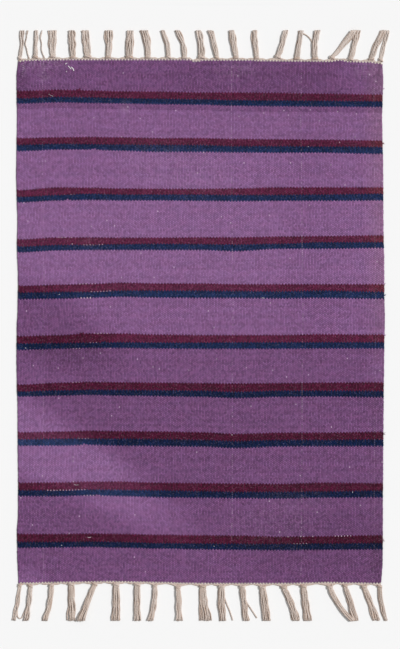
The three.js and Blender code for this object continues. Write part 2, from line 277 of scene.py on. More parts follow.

# %% [markdown]
# ## Stripes that bow
#
# The beater never comes down quite level, so a colour that starts straight bends as it is
# packed. From the top, a pair is a burgundy stripe above a navy one, and each pair has three
# lines: where the burgundy starts, where it changes to navy, and the foot of the navy.
#
# The lines were read in the picture, at ten of its columns, as rows counted from its top.
# The middle of the rug is at the origin's column and row. From there each reading becomes a
# whole number of millimetres.

# %% The lines of the stripes
ORIGIN_COLUMN, ORIGIN_ROW = 201, 325.5
COLUMNS_READ = [20, 60, 90, 120, 160, 200, 235, 280, 320, 380]
ROWS_READ = [
    {"top": [91.0, 89.9, 90.4, 91.4, 91.9, 92.4, 92.6, 93.1, 93.6, 94.4],
     "change": [98.6, 97.1, 97.2, 98.0, 99.1, 99.2, 100.0, 100.5, 101.0, 101.3],
     "foot": [103.7, 102.3, 103.1, 103.6, 104.6, 105.0, 106.0, 106.6, 106.7, 107.4]},
    {"top": [138, 137.4, 137.1, 137.3, 138, 138.3, 138.9, 139.4, 139.6, 140.4],
     "change": [145.1, 143.9, 144.1, 144.6, 144.9, 145.1, 146.0, 146.3, 146.7, 147.1],
     "foot": [151.1, 149.9, 149.9, 150.9, 151.9, 151.9, 152.3, 152.9, 152.9, 154]},
    {"top": [190.1, 187.6, 187.9, 188.5, 188.9, 188.9, 188.7, 187.5, 187.5, 187.5],
     "change": [196.8, 195.0, 193.9, 194.6, 194.6, 194.6, 194.9, 194.9, 194.6, 193.6],
     "foot": [202.5, 200.6, 200.1, 200.6, 200.6, 200.7, 201.3, 200.7, 200.7, 200.4]},
    {"top": [239.3, 237.3, 237.4, 237.7, 237.9, 237.6, 237.4, 236.6, 236.2, 235.6],
     "change": [246.4, 245.1, 245.0, 244.0, 243.9, 244.1, 244.4, 243.6, 242.3, 242.3],
     "foot": [252.3, 250.5, 250.0, 250.0, 250.0, 250.3, 251.2, 249.1, 248.8, 248.1]},
    {"top": [286, 284.7, 283.7, 282.8, 283.5, 283.4, 284.3, 284.4, 284.1, 284.1],
     "change": [292.4, 291.9, 291.7, 290.7, 290.6, 290.6, 290.8, 291.4, 290.7, 291.6],
     "foot": [299.4, 298.9, 297.9, 297.0, 297.9, 298.1, 298.1, 298.6, 298.0, 298.9]},
    {"top": [336.1, 334.9, 333.5, 333.5, 334.6, 334.9, 334.9, 334.9, 334.2, 334.6],
     "change": [343.5, 343.0, 342.4, 342.1, 342.6, 342.4, 342.2, 342.3, 342.3, 342.1],
     "foot": [350.3, 349.0, 348.0, 348.0, 348.7, 348.9, 349.0, 348.9, 348.7, 348.5]},
    {"top": [384.6, 382.7, 382.0, 382.3, 382.7, 382.9, 383.4, 383.0, 382.6, 382.2],
     "change": [391.3, 390.3, 389.8, 389.8, 390.1, 390.4, 391.6, 390.6, 390.6, 390.8],
     "foot": [396.7, 395.7, 394.9, 395.6, 396.3, 396.9, 398.0, 397.0, 396.5, 397.3]},
    {"top": [432.3, 431.6, 430.7, 430.9, 431.6, 432.4, 434.0, 432.6, 432.6, 431.9],
     "change": [439.3, 438.7, 438.7, 438.7, 439.1, 439.6, 441.1, 439.9, 439.7, 439.4],
     "foot": [445.6, 445.6, 445.1, 445.6, 446.0, 446.4, 448.3, 446.6, 446.3, 446.3]},
    {"top": [482.7, 482.1, 481.5, 481.6, 482.6, 483.0, 483.5, 483.9, 482.6, 482.9],
     "change": [490.1, 490.1, 489.2, 489.7, 490.3, 490.9, 491.8, 491.9, 491.3, 490.4],
     "foot": [496.3, 496.3, 495.2, 496.1, 497.3, 497.7, 498.2, 498.4, 497.9, 497.4]},
    {"top": [533.9, 533.8, 533.6, 533.9, 534.6, 535.1, 535.6, 536.6, 536.1, 534.9],
     "change": [541.9, 541.6, 541.4, 541.7, 543.0, 543.3, 543.6, 543.9, 543.5, 542.8],
     "foot": [547.8, 547.4, 547.1, 547.6, 548.6, 549.3, 549.6, 550.3, 549.9, 549.3]},
]
ACROSS = [round((column - ORIGIN_COLUMN) * PIXEL) for column in COLUMNS_READ]
STRIPES = [
    {line: [round((ORIGIN_ROW - row) * PIXEL) for row in rows_read]
     for line, rows_read in pair.items()}
    for pair in ROWS_READ
]
# Where a new weft was laid in, the line steps up over a few warps
STEPS = [
    {"pair": 0, "line": "top", "at": -306, "high": 4.5},
    {"pair": 1, "line": "foot", "at": -267, "high": 3.5},
    {"pair": 2, "line": "foot", "at": -335, "high": 3.5},
    {"pair": 5, "line": "top", "at": -300, "high": 3.5},
    {"pair": 5, "line": "change", "at": -244, "high": 3},
    {"pair": 7, "line": "foot", "at": -295, "high": 3.5},
    {"pair": 8, "line": "foot", "at": -262, "high": 2.5},
]
STEP_WIDTH = 5


def stripe_y(pair, line, x):
    """The height of one line of one stripe pair, counted from the top of the rug."""
    height = run_through(ACROSS, STRIPES[pair][line], x)
    for step in STEPS:
        if step["pair"] == pair and step["line"] == line:
            height = height + step["high"] * np.exp(-((x - step["at"]) / STEP_WIDTH) ** 2)
    return height


def woven_lines(x):
    """Every change of colour from the bottom edge to the top: its pass, and its height at x."""
    lines = [(0, bottom_y(x))]
    for repeat in range(STRIPE_PAIRS):
        pair = STRIPE_PAIRS - 1 - repeat
        first = FIRST_PASSES + repeat * REPEAT_PASSES
        lines.append((first, stripe_y(pair, "foot", x)))
        lines.append((first + NAVY_PASSES, stripe_y(pair, "change", x)))
        lines.append((first + NAVY_PASSES + BURGUNDY_PASSES, stripe_y(pair, "top", x)))
    lines.append((PASSES, top_y(x)))
    return lines


for colour, upper, lower in (("burgundy", "top", "change"), ("navy", "change", "foot")):
    high = [a - b for pair in STRIPES for a, b in zip(pair[upper], pair[lower])]
    print("the", colour, "stripes are", min(high), "to", max(high), "mm high")

# %% [markdown]
# ## The cloth
#
# A grid is the natural start for a woven sheet, because its columns can be the warps and its
# rows the passes. Each warp gets two columns of faces, so that one line of corners runs along
# the crown of its rib and the next along the groove beside it. Rows are needed only every six
# passes, and at each change of colour.
#
# A kilim is the same on both faces. The grid is copied for the back, turned over, and the two
# rims are bridged, which leaves one closed sheet. The beads on the ribs are far too many for
# faces, so the material makes those.

# %% The grid of warps and passes
ROW_PASSES = 6
HEM_PASSES = 1


def pass_rows():
    """The passes at which the grid has a row, from below the first pass to above the last."""
    marks = [number for number, _ in woven_lines(np.zeros(1))]
    rows = [-HEM_PASSES]
    for low, high in zip(marks, marks[1:]):
        steps = max(1, round((high - low) / ROW_PASSES))
        rows += [low + (high - low) * step / steps for step in range(steps)]
    return np.array(rows + [PASSES, PASSES + HEM_PASSES])


rows = pass_rows()
columns = np.arange(2 * WARPS + 1) / 2

bm = bmesh.new()
bmesh.ops.create_grid(bm, x_segments=len(columns) - 1, y_segments=len(rows) - 1, size=0.5)
bmesh.ops.translate(bm, verts=bm.verts, vec=(0.5, 0.5, 1))
front_rim = [edge for edge in bm.edges if edge.is_boundary]
back = bmesh.ops.duplicate(bm, geom=bm.verts[:] + bm.edges[:] + bm.faces[:])["geom"]
back_verts = [item for item in back if isinstance(item, bmesh.types.BMVert)]
back_faces = [item for item in back if isinstance(item, bmesh.types.BMFace)]
back_rim = [item for item in back if isinstance(item, bmesh.types.BMEdge) and item.is_boundary]
bmesh.ops.translate(bm, verts=back_verts, vec=(0, 0, -2))
bmesh.ops.reverse_faces(bm, faces=back_faces)
bmesh.ops.bridge_loops(bm, edges=front_rim + back_rim)
cloth_mesh = finished(bm, "cloth")
print("the sheet has", len(cloth_mesh.polygons), "faces, in", len(rows), "rows")

# %% [markdown]
# ## Laying the sheet in its place
#
# So far the sheet is a unit square with two faces. Two things say where its corners go. One is
# the place on the rug where a warp crosses a pass, which follows the wandering edges and the
# bowed stripes. The other is how the cloth lies: in very low waves, because cloth that has been
# rolled never lies dead flat. They die out at the two ends, where the knots hold it down.

# %% Crossings and waves
WAVE_HEIGHT = 0.9
CALM = 70
CALM_AT_SIDES = 0.5
# Millimetres to a radian, of the waves and of the slower sway, and by how many radians that
# bends them
WAVE_ACROSS, WAVE_ALONG = 83, 140
SWAY_ACROSS, SWAY_ALONG = 210, 170
SWAY_OF_ACROSS, SWAY_OF_ALONG = 1.1, 0.8


def cloth_places(warp, number):
    """X and Y of the crossing of each warp with each pass, both counted from the lower left."""
    straight_x = LEFT_X + warp * WARP_PITCH
    lines = woven_lines(straight_x)
    marks = np.array([mark for mark, _ in lines])
    heights = np.array([height for _, height in lines])
    i = np.clip(np.searchsorted(marks, number, side="right") - 1, 0, len(marks) - 2)
    share = (number - marks[i]) / (marks[i + 1] - marks[i])
    each = np.arange(len(warp))
    y = heights[i, each] + (heights[i + 1, each] - heights[i, each]) * share
    x = left_x(y) + (right_x(y) - left_x(y)) * warp / WARPS
    return x, y


def lie(x, y):
    """How far the middle of the cloth is lifted off the floor by its low waves."""
    bent_x = x / WAVE_ACROSS + SWAY_OF_ACROSS * np.sin(y / SWAY_ALONG)
    bent_y = y / WAVE_ALONG + SWAY_OF_ALONG * np.sin(x / SWAY_ACROSS)
    wave = np.sin(bent_x) * np.cos(bent_y)
    to_end = np.minimum(TOP_Y - y, y - BOTTOM_Y)
    to_side = np.minimum(x - LEFT_X, RIGHT_X - x)
    from_side = CALM_AT_SIDES + (1 - CALM_AT_SIDES) * np.clip(to_side / CALM, 0, 1)
    calm = np.clip(to_end / CALM, 0, 1) * from_side
    return WAVE_HEIGHT * calm * (0.5 + 0.5 * wave)


print("the cloth lies", round(float(lie(0, 0)), 2), "mm off the floor in the middle of the rug")

# %% [markdown]
# Now each corner is told which warp and which pass it belongs to, and moves to their crossing.
# It lies half the thickness above or below the middle of the cloth, and a little less than
# that in the groove between two ribs. numpy moves all the corners at once, which takes a
# fraction of a second where a loop over them would take a minute.

# %% Moving the corners
RIB_DEPTH = 0.45


def numbers_of(items, key, width):
    """Rows of numbers, one for each corner, face or UV of a mesh."""
    values = np.empty(width * len(items))
    items.foreach_get(key, values)
    return values.reshape(-1, width)


corners = numbers_of(cloth_mesh.vertices, "co", 3)
corner_warp = columns[np.rint(corners[:, 0] * (len(columns) - 1)).astype(int)]
corner_pass = rows[np.rint(corners[:, 1] * (len(rows) - 1)).astype(int)]
corner_x, corner_y = cloth_places(corner_warp, corner_pass)
in_groove = corner_warp % 1 == 0
half = THICKNESS / 2 - RIB_DEPTH * in_groove
corner_z = THICKNESS / 2 + lie(corner_x, corner_y) + half * corners[:, 2]
placed = np.column_stack([corner_x, corner_y, corner_z])
cloth_mesh.vertices.foreach_set("co", placed.ravel() * MM)
cloth = shown("woven_cloth", cloth_mesh)
print("the cloth spans", (placed.max(0) - placed.min(0)).round(1), "mm")

# %% [markdown]
# ## The depth of the dye, and painted light and shade
#
# The purple isn't even. The yarn was dyed in lots, and some bands were woven from a deeper one.
# The weaver still had a little of it when the last bright band was nearly done, so six passes
# of that are deep again. Over the bands lie long slanting patches of painted light and shade, a
# strip of painted shade along the top of the left side, and smaller patches of paler and deeper
# dye.
#
# All of it is one number: 0 is the bright dye and 1 the deep one, and the painted light and shade
# raise and lower it. There is one depth for each band, one for each pair of stripes, and the
# patches are soft ovals laid over them. Bands are counted from the bottom of the rug, as they
# were woven.

# %% The depth of the dye and painted light
BAND_DEPTH = [1.0, 1.05, 1.0, 1.05, 0.9, 0.35, 0.05, 0.05, 0.15, 0.28, 1.0]
PAIR_DEPTH = [1.15, 1.1, 1.1, 1.05, 0.6, 0.4, 0.4, 0.45, 0.5, 0.65]
LATE_PASSES = 6
LATE_DEPTH = 0.85
LIGHTEST, DEEPEST = -0.1, 1.5
# The first three are long slanting patches of painted light and shade, the ninth is painted shade along
# the left side, and the rest are paler or deeper dye
# Middle, half the length, half the width, turn in degrees, and how much deeper
SHADE_AND_DYE_PATCHES = [
    ((-400, 10), 200, 90, -30, 0.7),
    ((-380, -306), 400, 75, -33, -1.05),
    ((-400, -355), 170, 60, 0, -0.5),
    ((-445, -645), 50, 30, 0, -0.6),
    ((-330, 420), 160, 130, 0, 0.12),
    ((280, 250), 90, 330, 0, 0.22),
    ((190, 630), 330, 60, 0, 0.22),
    ((330, -580), 230, 150, 0, 0.22),
    ((-455, 620), 22, 50, 0, 0.4),
    ((430, 625), 100, 45, 0, -0.28),
    ((450, -600), 25, 60, 0, 0.3),
    ((450, -105), 25, 40, 0, -0.25),
]


def ovals(patches, x, y):
    """The sum of soft ovals: each is full in its middle and fades out at its rim."""
    total = np.zeros(np.shape(x))
    for middle, long, wide, turn, amount in patches:
        right, up = x - middle[0], y - middle[1]
        cos, sin = math.cos(math.radians(turn)), math.sin(math.radians(turn))
        total += amount * np.exp(-(((right * cos + up * sin) / long) ** 2
                                   + ((up * cos - right * sin) / wide) ** 2) ** 2)
    return total


def depth_and_painted_light(x, y, number):
    """How deep the dye is at a place and a pass: its lot, and the patches of painted light and dye."""
    since_first = number - FIRST_PASSES
    band = np.clip(np.floor(since_first / REPEAT_PASSES) + 1, 0, STRIPE_PAIRS).astype(int)
    in_stripes = (since_first >= 0) & (since_first % REPEAT_PASSES < NAVY_PASSES + BURGUNDY_PASSES)
    pair = np.clip(band - 1, 0, STRIPE_PAIRS - 1)
    depth = np.where(in_stripes, np.array(PAIR_DEPTH)[pair], np.array(BAND_DEPTH)[band])
    to_last_pair = (STRIPE_PAIRS - 1) * REPEAT_PASSES - since_first
    depth = np.where((to_last_pair > 0) & (to_last_pair <= LATE_PASSES), LATE_DEPTH, depth)
    return np.clip(depth + ovals(SHADE_AND_DYE_PATCHES, x, y), LIGHTEST, DEEPEST)


print(len(SHADE_AND_DYE_PATCHES), "patches over", len(BAND_DEPTH), "bands")

# %% [markdown]
# ## A map of the weave
#
# The colours follow the threads and not the floor, so the cloth carries a map of its own: how
# far across in warps and how far along in passes, as lengths. Whatever the stripes do on the
# floor, they are straight on this map.
#
# The depth of the dye, with its painted light and shade, is kept for each corner of each face.
# Kept for each point, it would run from one lot into the next over a whole row of faces, where
# the real one changes from pass to pass. A second number says where the weave is thin, so that
# pale warp grins through.

# %% The weave map
THIN_PATCHES = [
    ((-400, 662), 70, 12, 0, 1.0),
    ((-395, 628), 14, 16, 0, 0.8),
    ((-447, 648), 8, 14, 0, 1.0),
    ((412, 648), 30, 24, 0, 0.6),
    ((90, 645), 60, 14, 0, 0.5),
    ((-190, 550), 16, 10, 0, 0.9),
    ((-280, 213), 40, 9, 0, 0.6),
    ((200, -480), 120, 60, 20, 0.22),
    ((-60, 400), 150, 60, -15, 0.25),
]

loop_corner = numbers_of(cloth_mesh.loops, "vertex_index", 1).astype(int).ravel()
on_map = np.column_stack([corner_warp * WARP_PITCH, corner_pass * PASS_PITCH]) * MM
cloth_mesh.uv_layers.new(name="weave").data.foreach_set("uv", on_map[loop_corner].ravel())

sides = numbers_of(cloth_mesh.polygons, "loop_total", 1).astype(int).ravel()
loop_face = np.repeat(np.arange(len(sides)), sides)
face_pass = np.bincount(loop_face, corner_pass[loop_corner]) / sides
depth_there = depth_and_painted_light(corner_x[loop_corner], corner_y[loop_corner], face_pass[loop_face])
thin_there = ovals(THIN_PATCHES, corner_x, corner_y)
for name, domain, values in (("depth_and_painted_light", "CORNER", depth_there), ("thin_weave", "POINT", thin_there)):
    cloth_mesh.attributes.new(name, "FLOAT", domain).data.foreach_set("value", values)
    print(name, "runs from", values.min().round(2), "to", values.max().round(2))

# %% [markdown]
# ## Dyed wool, woven weft-faced
#
# The finish is coarse handspun wool, piece by piece as the weave makes it. First the graph
# finds which bead a point is on: the warp under it, and the last pass that went over that warp.
# The colour is then chosen once for the whole bead. Because neighbouring warps change colour
# one pass apart, every change of colour comes out with the small teeth that a kilim has.
#
# Each bead is a low dome, with the three yarns of the weft lying side by side in it.
# Wool takes dye unevenly, so beads differ a little, passes differ a little, and here and there
# a fleck of pale fibre shows. Wool is matt with a faint bloom of loose fibre.

# %% Which bead
wool, tree = new_material("handspun_wool_weft")

woven = add(tree, "SeparateXYZ", add(tree, "UVMap", uv_map="weave"))
across = add(tree, "Math", woven.outputs["X"], WARP_PITCH * MM, operation="DIVIDE")
along = add(tree, "Math", woven.outputs["Y"], PASS_PITCH * MM, operation="DIVIDE")
warp_number = add(tree, "Math", across, operation="FLOOR")
parity = add(tree, "Math", warp_number, 2, operation="FLOORED_MODULO")
half_pass = add(tree, "Math", along, 0.5, operation="ADD")
from_parity = add(tree, "Math", half_pass, parity, operation="SUBTRACT")
pairs = add(tree, "Math", from_parity, 2, operation="DIVIDE")
pair_number = add(tree, "Math", pairs, operation="FLOOR")
pass_number = add(tree, "Math", pair_number, 2, parity, operation="MULTIPLY_ADD")
bead = add(tree, "CombineXYZ", warp_number, pass_number)
print("a bead is", round(WARP_PITCH, 1), "mm wide and", round(2 * PASS_PITCH, 1), "mm long")

# %% [markdown]
# The bead's shape comes next. It is a low dome with rounded corners, high over the warp and
# full along it, until it dives under its neighbours. Three fine yarns lie side by side in it,
# a little slanted, and loose fibre roughens them. The hairs of real wool are far finer than
# half a millimetre, but finer ones wouldn't show at any distance that a rug is looked at from.

# %% The relief of a bead
YARNS_IN_BEAD = 3
YARN_SLANT = 0.6
YARN_RISE = 0.16
FIBRE_SIZE = 0.5
FIBRE_LENGTH = 3 * FIBRE_SIZE
FIBRE_RISE = 0.25
BEAD_DEPTH = 0.55
SIDE_ROUNDING, END_ROUNDING = 2.5, 3

in_warp = add(tree, "Math", across, warp_number, operation="SUBTRACT")
aside = add(tree, "Math", in_warp, 0.5, operation="SUBTRACT")
in_pass = add(tree, "Math", along, pass_number, operation="SUBTRACT")
rise = add(tree, "Math", in_pass, 0.5, operation="SUBTRACT")
twice_aside = add(tree, "Math", aside, 2, operation="MULTIPLY")
off_crown = add(tree, "Math", twice_aside, operation="ABSOLUTE")
off_middle = add(tree, "Math", rise, operation="ABSOLUTE")
side_drop = add(tree, "Math", off_crown, SIDE_ROUNDING, operation="POWER")
end_drop = add(tree, "Math", off_middle, END_ROUNDING, operation="POWER")
drop = add(tree, "Math", side_drop, end_drop, operation="ADD")
dome = add(tree, "Math", 1, drop, operation="SUBTRACT", use_clamp=True)

yarn_place = add(tree, "Math", rise, YARNS_IN_BEAD / 2, operation="MULTIPLY")
slanted = add(tree, "Math", aside, YARN_SLANT, yarn_place, operation="MULTIPLY_ADD")
yarn_wave = add(tree, "Math", slanted, 2 * math.pi, operation="MULTIPLY")
yarns = add(tree, "Math", yarn_wave, operation="COSINE")
on_rug = add(tree, "TexCoord").outputs["Object"]
fibre_place = add(tree, "Mapping", on_rug, sockets={
    "Scale": [1 / (size * MM) for size in (FIBRE_LENGTH, FIBRE_SIZE, FIBRE_SIZE)],
})
fibre = add(tree, "TexNoise", fibre_place, sockets={"Scale": 1.0, "Detail": 2.0})
rough_dome = add(tree, "Math", fibre, FIBRE_RISE, dome, operation="MULTIPLY_ADD")
relief = add(tree, "Math", yarns, YARN_RISE, rough_dome, operation="MULTIPLY_ADD")
bumped = add(tree, "Bump", sockets={
    "Strength": 1.0,
    "Distance": BEAD_DEPTH * MM,
    "Height": relief,
})
print("each yarn in a bead is", round(2 * PASS_PITCH / YARNS_IN_BEAD, 1), "mm wide")

# %% [markdown]
# Then the dye. Each bead looks up its pass in the repeat of fifty and takes navy, burgundy or
# purple. Beyond the first and the last pass lies the cream cotton of the hem.
#
# A deeper lot is also a purer colour, so each dye has two hex values and the depth mixes them.
# Towards the upper right the edge of the rug has gone a little dusty, and the burgundy there
# has faded towards rust.

# %% The dye of a bead
PURPLE, DEEP_PURPLE, DUSTY_PURPLE = linear("#8f6595"), linear("#905e94"), linear("#966c92")
BURGUNDY, DEEP_BURGUNDY, RUST = linear("#642b4a"), linear("#6c1642"), linear("#763242")
NAVY, DEEP_NAVY = linear("#24355c"), linear("#0a275a")
FULL_DEPTH = 1.2
DUSTY_MARGIN = 14
DUSTY_FROM, DUSTY_TO = 0.4 * PASSES, 0.55 * PASSES
DUSTY_BELOW = 0.2

since_first = add(tree, "Math", pass_number, FIRST_PASSES, operation="SUBTRACT")
phase = add(tree, "Math", since_first, REPEAT_PASSES, operation="FLOORED_MODULO")
in_navy = add(tree, "Math", phase, NAVY_PASSES - 0.5, operation="LESS_THAN")
in_pair = add(tree, "Math", phase, NAVY_PASSES + BURGUNDY_PASSES - 0.5, operation="LESS_THAN")
after_first = add(tree, "Math", since_first, -0.5, operation="GREATER_THAN")
before_last = add(tree, "Math", pass_number, PASSES - LAST_PASSES, operation="LESS_THAN")
in_repeats = add(tree, "Math", after_first, before_last, operation="MULTIPLY")
striped = add(tree, "Math", in_pair, in_repeats, operation="MULTIPLY")

depth = add(tree, "Attribute", attribute_name="depth_and_painted_light").outputs["Fac"]
deep_share = add(tree, "MapRange", depth, 0.0, FULL_DEPTH, 0.0, 1.0)
even_purple = add(tree, "MixRGB", deep_share, PURPLE, DEEP_PURPLE)
even_burgundy = add(tree, "MixRGB", deep_share, BURGUNDY, DEEP_BURGUNDY)
navy = add(tree, "MixRGB", deep_share, NAVY, DEEP_NAVY)
at_side = add(tree, "MapRange", across, WARPS - DUSTY_MARGIN, WARPS, 0.0, 1.0)
up_there = add(tree, "MapRange", along, DUSTY_FROM, DUSTY_TO, DUSTY_BELOW, 1.0)
dusty = add(tree, "Math", at_side, up_there, operation="MULTIPLY")
purple = add(tree, "MixRGB", dusty, even_purple, DUSTY_PURPLE)
burgundy = add(tree, "MixRGB", dusty, even_burgundy, RUST)
stripe = add(tree, "MixRGB", in_navy, burgundy, navy)
dyed = add(tree, "MixRGB", striped, purple, stripe)
print("one repeat of the colours is", round(REPEAT_PASSES * PASS_PITCH), "mm of cloth")

# %% [markdown]
# Four more steps keep it from looking printed. The first is light and dark. Each bead, each
# pass and each warp is a shade lighter or darker than the next. The thick and thin places of
# the yarn draw short streaks along a pass, some ribs are painted lighter or darker for a stretch,
# as painted light on ribs that stand prouder than others, and felted wool makes small blotches.
# The lines between the three yarns of a bead are painted a little darker, as painted shade. The
# noises are added up with the share that each has, and the grooves between the beads are painted
# darkest: painted shade, with some dust that they hold.

# %% Light and dark beads
STREAK_SIZE = (3.2, 1.2)
RIB_SIZE = (1.4, 33)
BLOTCH = 2.2
DARKEST = 0.36
GROOVE_SHADE = 0.6
GROOVE_RIM = 0.7

of_bead = add(tree, "TexWhiteNoise", bead, noise_dimensions="2D")
of_pass = add(tree, "TexWhiteNoise", sockets={"W": pass_number}, noise_dimensions="1D")
of_warp = add(tree, "TexWhiteNoise", sockets={"W": warp_number}, noise_dimensions="1D")
streak_place = add(tree, "Mapping", bead, sockets={"Scale": (1 / STREAK_SIZE[0], 1 / STREAK_SIZE[1], 1)})
streaks = add(tree, "TexNoise", streak_place, sockets={"Scale": 1.0, "Detail": 1.0})
# Painted light: some ribs are lighter or darker for a stretch, for ribs that stand prouder than others
rib_place = add(tree, "Mapping", bead, sockets={"Scale": (1 / RIB_SIZE[0], 1 / RIB_SIZE[1], 1)})
ribs = add(tree, "TexNoise", rib_place, sockets={"Scale": 1.0, "Detail": 1.0})
blotches = add(tree, "TexNoise", on_rug, sockets={"Scale": 1 / (BLOTCH * MM), "Detail": 2.0})

noises = [
    (of_bead, 0.38),
    (of_pass, 0.15),
    (of_warp, 0.05),
    (streaks, 0.26),
    (ribs, 0.08),
    (blotches, 0.48),
    # Painted shade: darker lines between the three yarns of a bead
    (yarns, 0.05),
]
lightness = DARKEST
for noise, share in noises:
    lightness = add(tree, "Math", noise, share, lightness, operation="MULTIPLY_ADD")
print("the lightest bead is", round(DARKEST + sum(share for _, share in noises), 2))
# Painted shade: the grooves between the beads are darkened, with a little dust that they hold
in_shade = add(tree, "MapRange", dome, 0.0, GROOVE_RIM, GROOVE_SHADE, 1.0)
lightness = add(tree, "Math", lightness, in_shade, operation="MULTIPLY")

# %% [markdown]
# The second is contrast. A deep lot is darker all over, and the same darkening paints the light
# and shade of the slanting patches. A dark dye also shows light and shade more strongly than a
# pale one, because less light bounces about between its beads. So the lightness is raised to a
# power, a steeper one in the stripes and where the dye is deep.

# %% The contrast of the dyes
DARKENING_BY_DEPTH = 0.26
STRIPE_CONTRAST = 0.8
DEEP_CONTRAST = 0.3

# Painted light and shade: the slanting patches darken and lighten the wool through this depth
by_depth = add(tree, "Math", depth, -DARKENING_BY_DEPTH, 1.0, operation="MULTIPLY_ADD")
even_light = add(tree, "Math", lightness, by_depth, operation="MULTIPLY")
steepness = add(tree, "Math", striped, STRIPE_CONTRAST, 1.0, operation="MULTIPLY_ADD")
steepness = add(tree, "Math", depth, DEEP_CONTRAST, steepness, operation="MULTIPLY_ADD")
dye_light = add(tree, "Math", even_light, steepness, operation="POWER")
print("a deep lot gives back", round(1 - DARKENING_BY_DEPTH, 2), "of the light that a pale one does")

# %% [markdown]
# The third is what isn't dyed. Four warps stand a little apart from their neighbours, and a
# pale line of them shows in broken stretches some forty passes long, less in the stripes than
# in the bands. Where the weave is thin, warp shows at the ends of the beads instead. And about
# one bead in 550 is a fleck, spun from wool that didn't take the dye, and paler than a gap.

# %% Gaps and flecks
SPREAD_WARPS = {16: 0.3, 138: 0.5, 183: 0.5, 230: 0.3}
STRETCH_PASSES = 40
CLOSED_IN_STRIPES = 0.4
GAP_SHARE = 0.6
FLECK_SHARE = 0.0018
FLECK_PALE = 1.1
BARE_PALE = 0.5
HALF_A_WARP = 0.5
SECOND_DRAW = (71.0, 31.0, 0.0)
STRETCH_STARTS, STRETCH_FULL, CLOSED_BETWEEN = 0.35, 0.6, 0.1
TOP_STARTS, TOP_FULL = 0.4, 0.9
END_STARTS, END_FULL = 0.45, 0.85

other_beads = add(tree, "Mapping", bead, sockets={"Location": SECOND_DRAW})
draw = add(tree, "TexWhiteNoise", other_beads, noise_dimensions="2D")
often = add(tree, "Math", draw, 1 - GAP_SHARE, operation="GREATER_THAN")
stretch_place = add(tree, "Mapping", bead, sockets={"Scale": (1.0, 1 / STRETCH_PASSES, 1.0)})
stretches = add(tree, "TexNoise", stretch_place, sockets={"Scale": 1.0, "Detail": 1.0})
open_here = add(tree, "MapRange", stretches, STRETCH_STARTS, STRETCH_FULL, CLOSED_BETWEEN, 1.0)
often_open = add(tree, "Math", often, open_here, operation="MULTIPLY")
by_stripe = add(tree, "Math", striped, -CLOSED_IN_STRIPES, 1.0, operation="MULTIPLY_ADD")
gap_there = add(tree, "Math", often_open, by_stripe, operation="MULTIPLY")

rare = add(tree, "Math", draw, 1 - FLECK_SHARE, operation="GREATER_THAN")
in_plain = add(tree, "Math", striped, -FLECK_PALE, FLECK_PALE, operation="MULTIPLY_ADD")
bare = add(tree, "Math", rare, in_plain, operation="MULTIPLY")
for spread, gap_width in SPREAD_WARPS.items():
    on_warp = add(tree, "Math", warp_number, spread, HALF_A_WARP, operation="COMPARE")
    on_gap = add(tree, "Math", on_warp, gap_there, operation="MULTIPLY")
    gap = add(tree, "Math", on_gap, gap_width, operation="MULTIPLY")
    bare = add(tree, "Math", gap, bare, operation="MAXIMUM")
on_top = add(tree, "MapRange", dome, TOP_STARTS, TOP_FULL, 0.0, 1.0)
bare_tops = add(tree, "Math", bare, on_top, operation="MULTIPLY")

thin = add(tree, "Attribute", attribute_name="thin_weave").outputs["Fac"]
often_thin = add(tree, "Math", thin, often, operation="MULTIPLY")
at_bead_end = add(tree, "MapRange", off_middle, END_STARTS, END_FULL, 0.0, 1.0)
grin = add(tree, "Math", at_bead_end, often_thin, operation="MULTIPLY")
showing = add(tree, "Math", bare_tops, grin, operation="MAXIMUM")
pale = add(tree, "Math", showing, BARE_PALE, operation="MULTIPLY")
print("there are about", round(FLECK_SHARE * WARPS * PASSES / 2), "flecks")

# %% [markdown]
# The fourth is hue. The dye wanders a little between cool and warm over some tens of beads.
# Coarse wool also holds kemp, short brittle hairs that take no dye and lie over the beads like
# a haze. A real one is a tenth of a millimetre thick, too fine to show, so kemp is drawn as
# soft spots two millimetres wide.

# %% Tints and kemp
COOL_TINT, WARM_TINT = linear("#fbfeff"), linear("#fffafb")
TINT_SIZE = (9, 6)
COOLEST, WARMEST = 0.35, 0.65
UNDYED_WOOL = linear("#d4bdd2")
KEMP_SIZE = 2.2
KEMP_SHARE = 0.2
KEMP_STARTS, KEMP_FULL = 0.58, 0.8

hue_place = add(tree, "Mapping", bead, sockets={"Scale": (1 / TINT_SIZE[0], 1 / TINT_SIZE[1], 1)})
hue = add(tree, "TexNoise", hue_place, sockets={"Scale": 1.0, "Detail": 3.0})
redder = add(tree, "MapRange", hue, COOLEST, WARMEST, 0.0, 1.0)
tint = add(tree, "MixRGB", redder, COOL_TINT, WARM_TINT)
tinted = add(tree, "MixRGB", 1.0, dyed, tint, blend_type="MULTIPLY")
dye_grey = add(tree, "CombineXYZ", dye_light, dye_light, dye_light)
shaded = add(tree, "MixRGB", 1.0, tinted, dye_grey, blend_type="MULTIPLY")

kemp = add(tree, "TexNoise", on_rug, sockets={"Scale": 1 / (KEMP_SIZE * MM), "Detail": 2.0})
kemp_share = add(tree, "MapRange", kemp, KEMP_STARTS, KEMP_FULL, 0.0, KEMP_SHARE)
hairy = add(tree, "MixRGB", kemp_share, shaded, UNDYED_WOOL)
print("the hue wanders over", round(TINT_SIZE[0] * WARP_PITCH), "mm or so")

# %% [markdown]
# All of it comes together in the finish. Wool has no gloss, so it is almost fully rough with
# very little specular, and a touch of sheen stands for the bloom of loose fibre. The hem past
# the first and the last pass isn't wool but cotton, woven in the same beads, so it takes the
# same lightness on cream.

# %% The finish of the wool
CREAM = linear("#cec2ba")

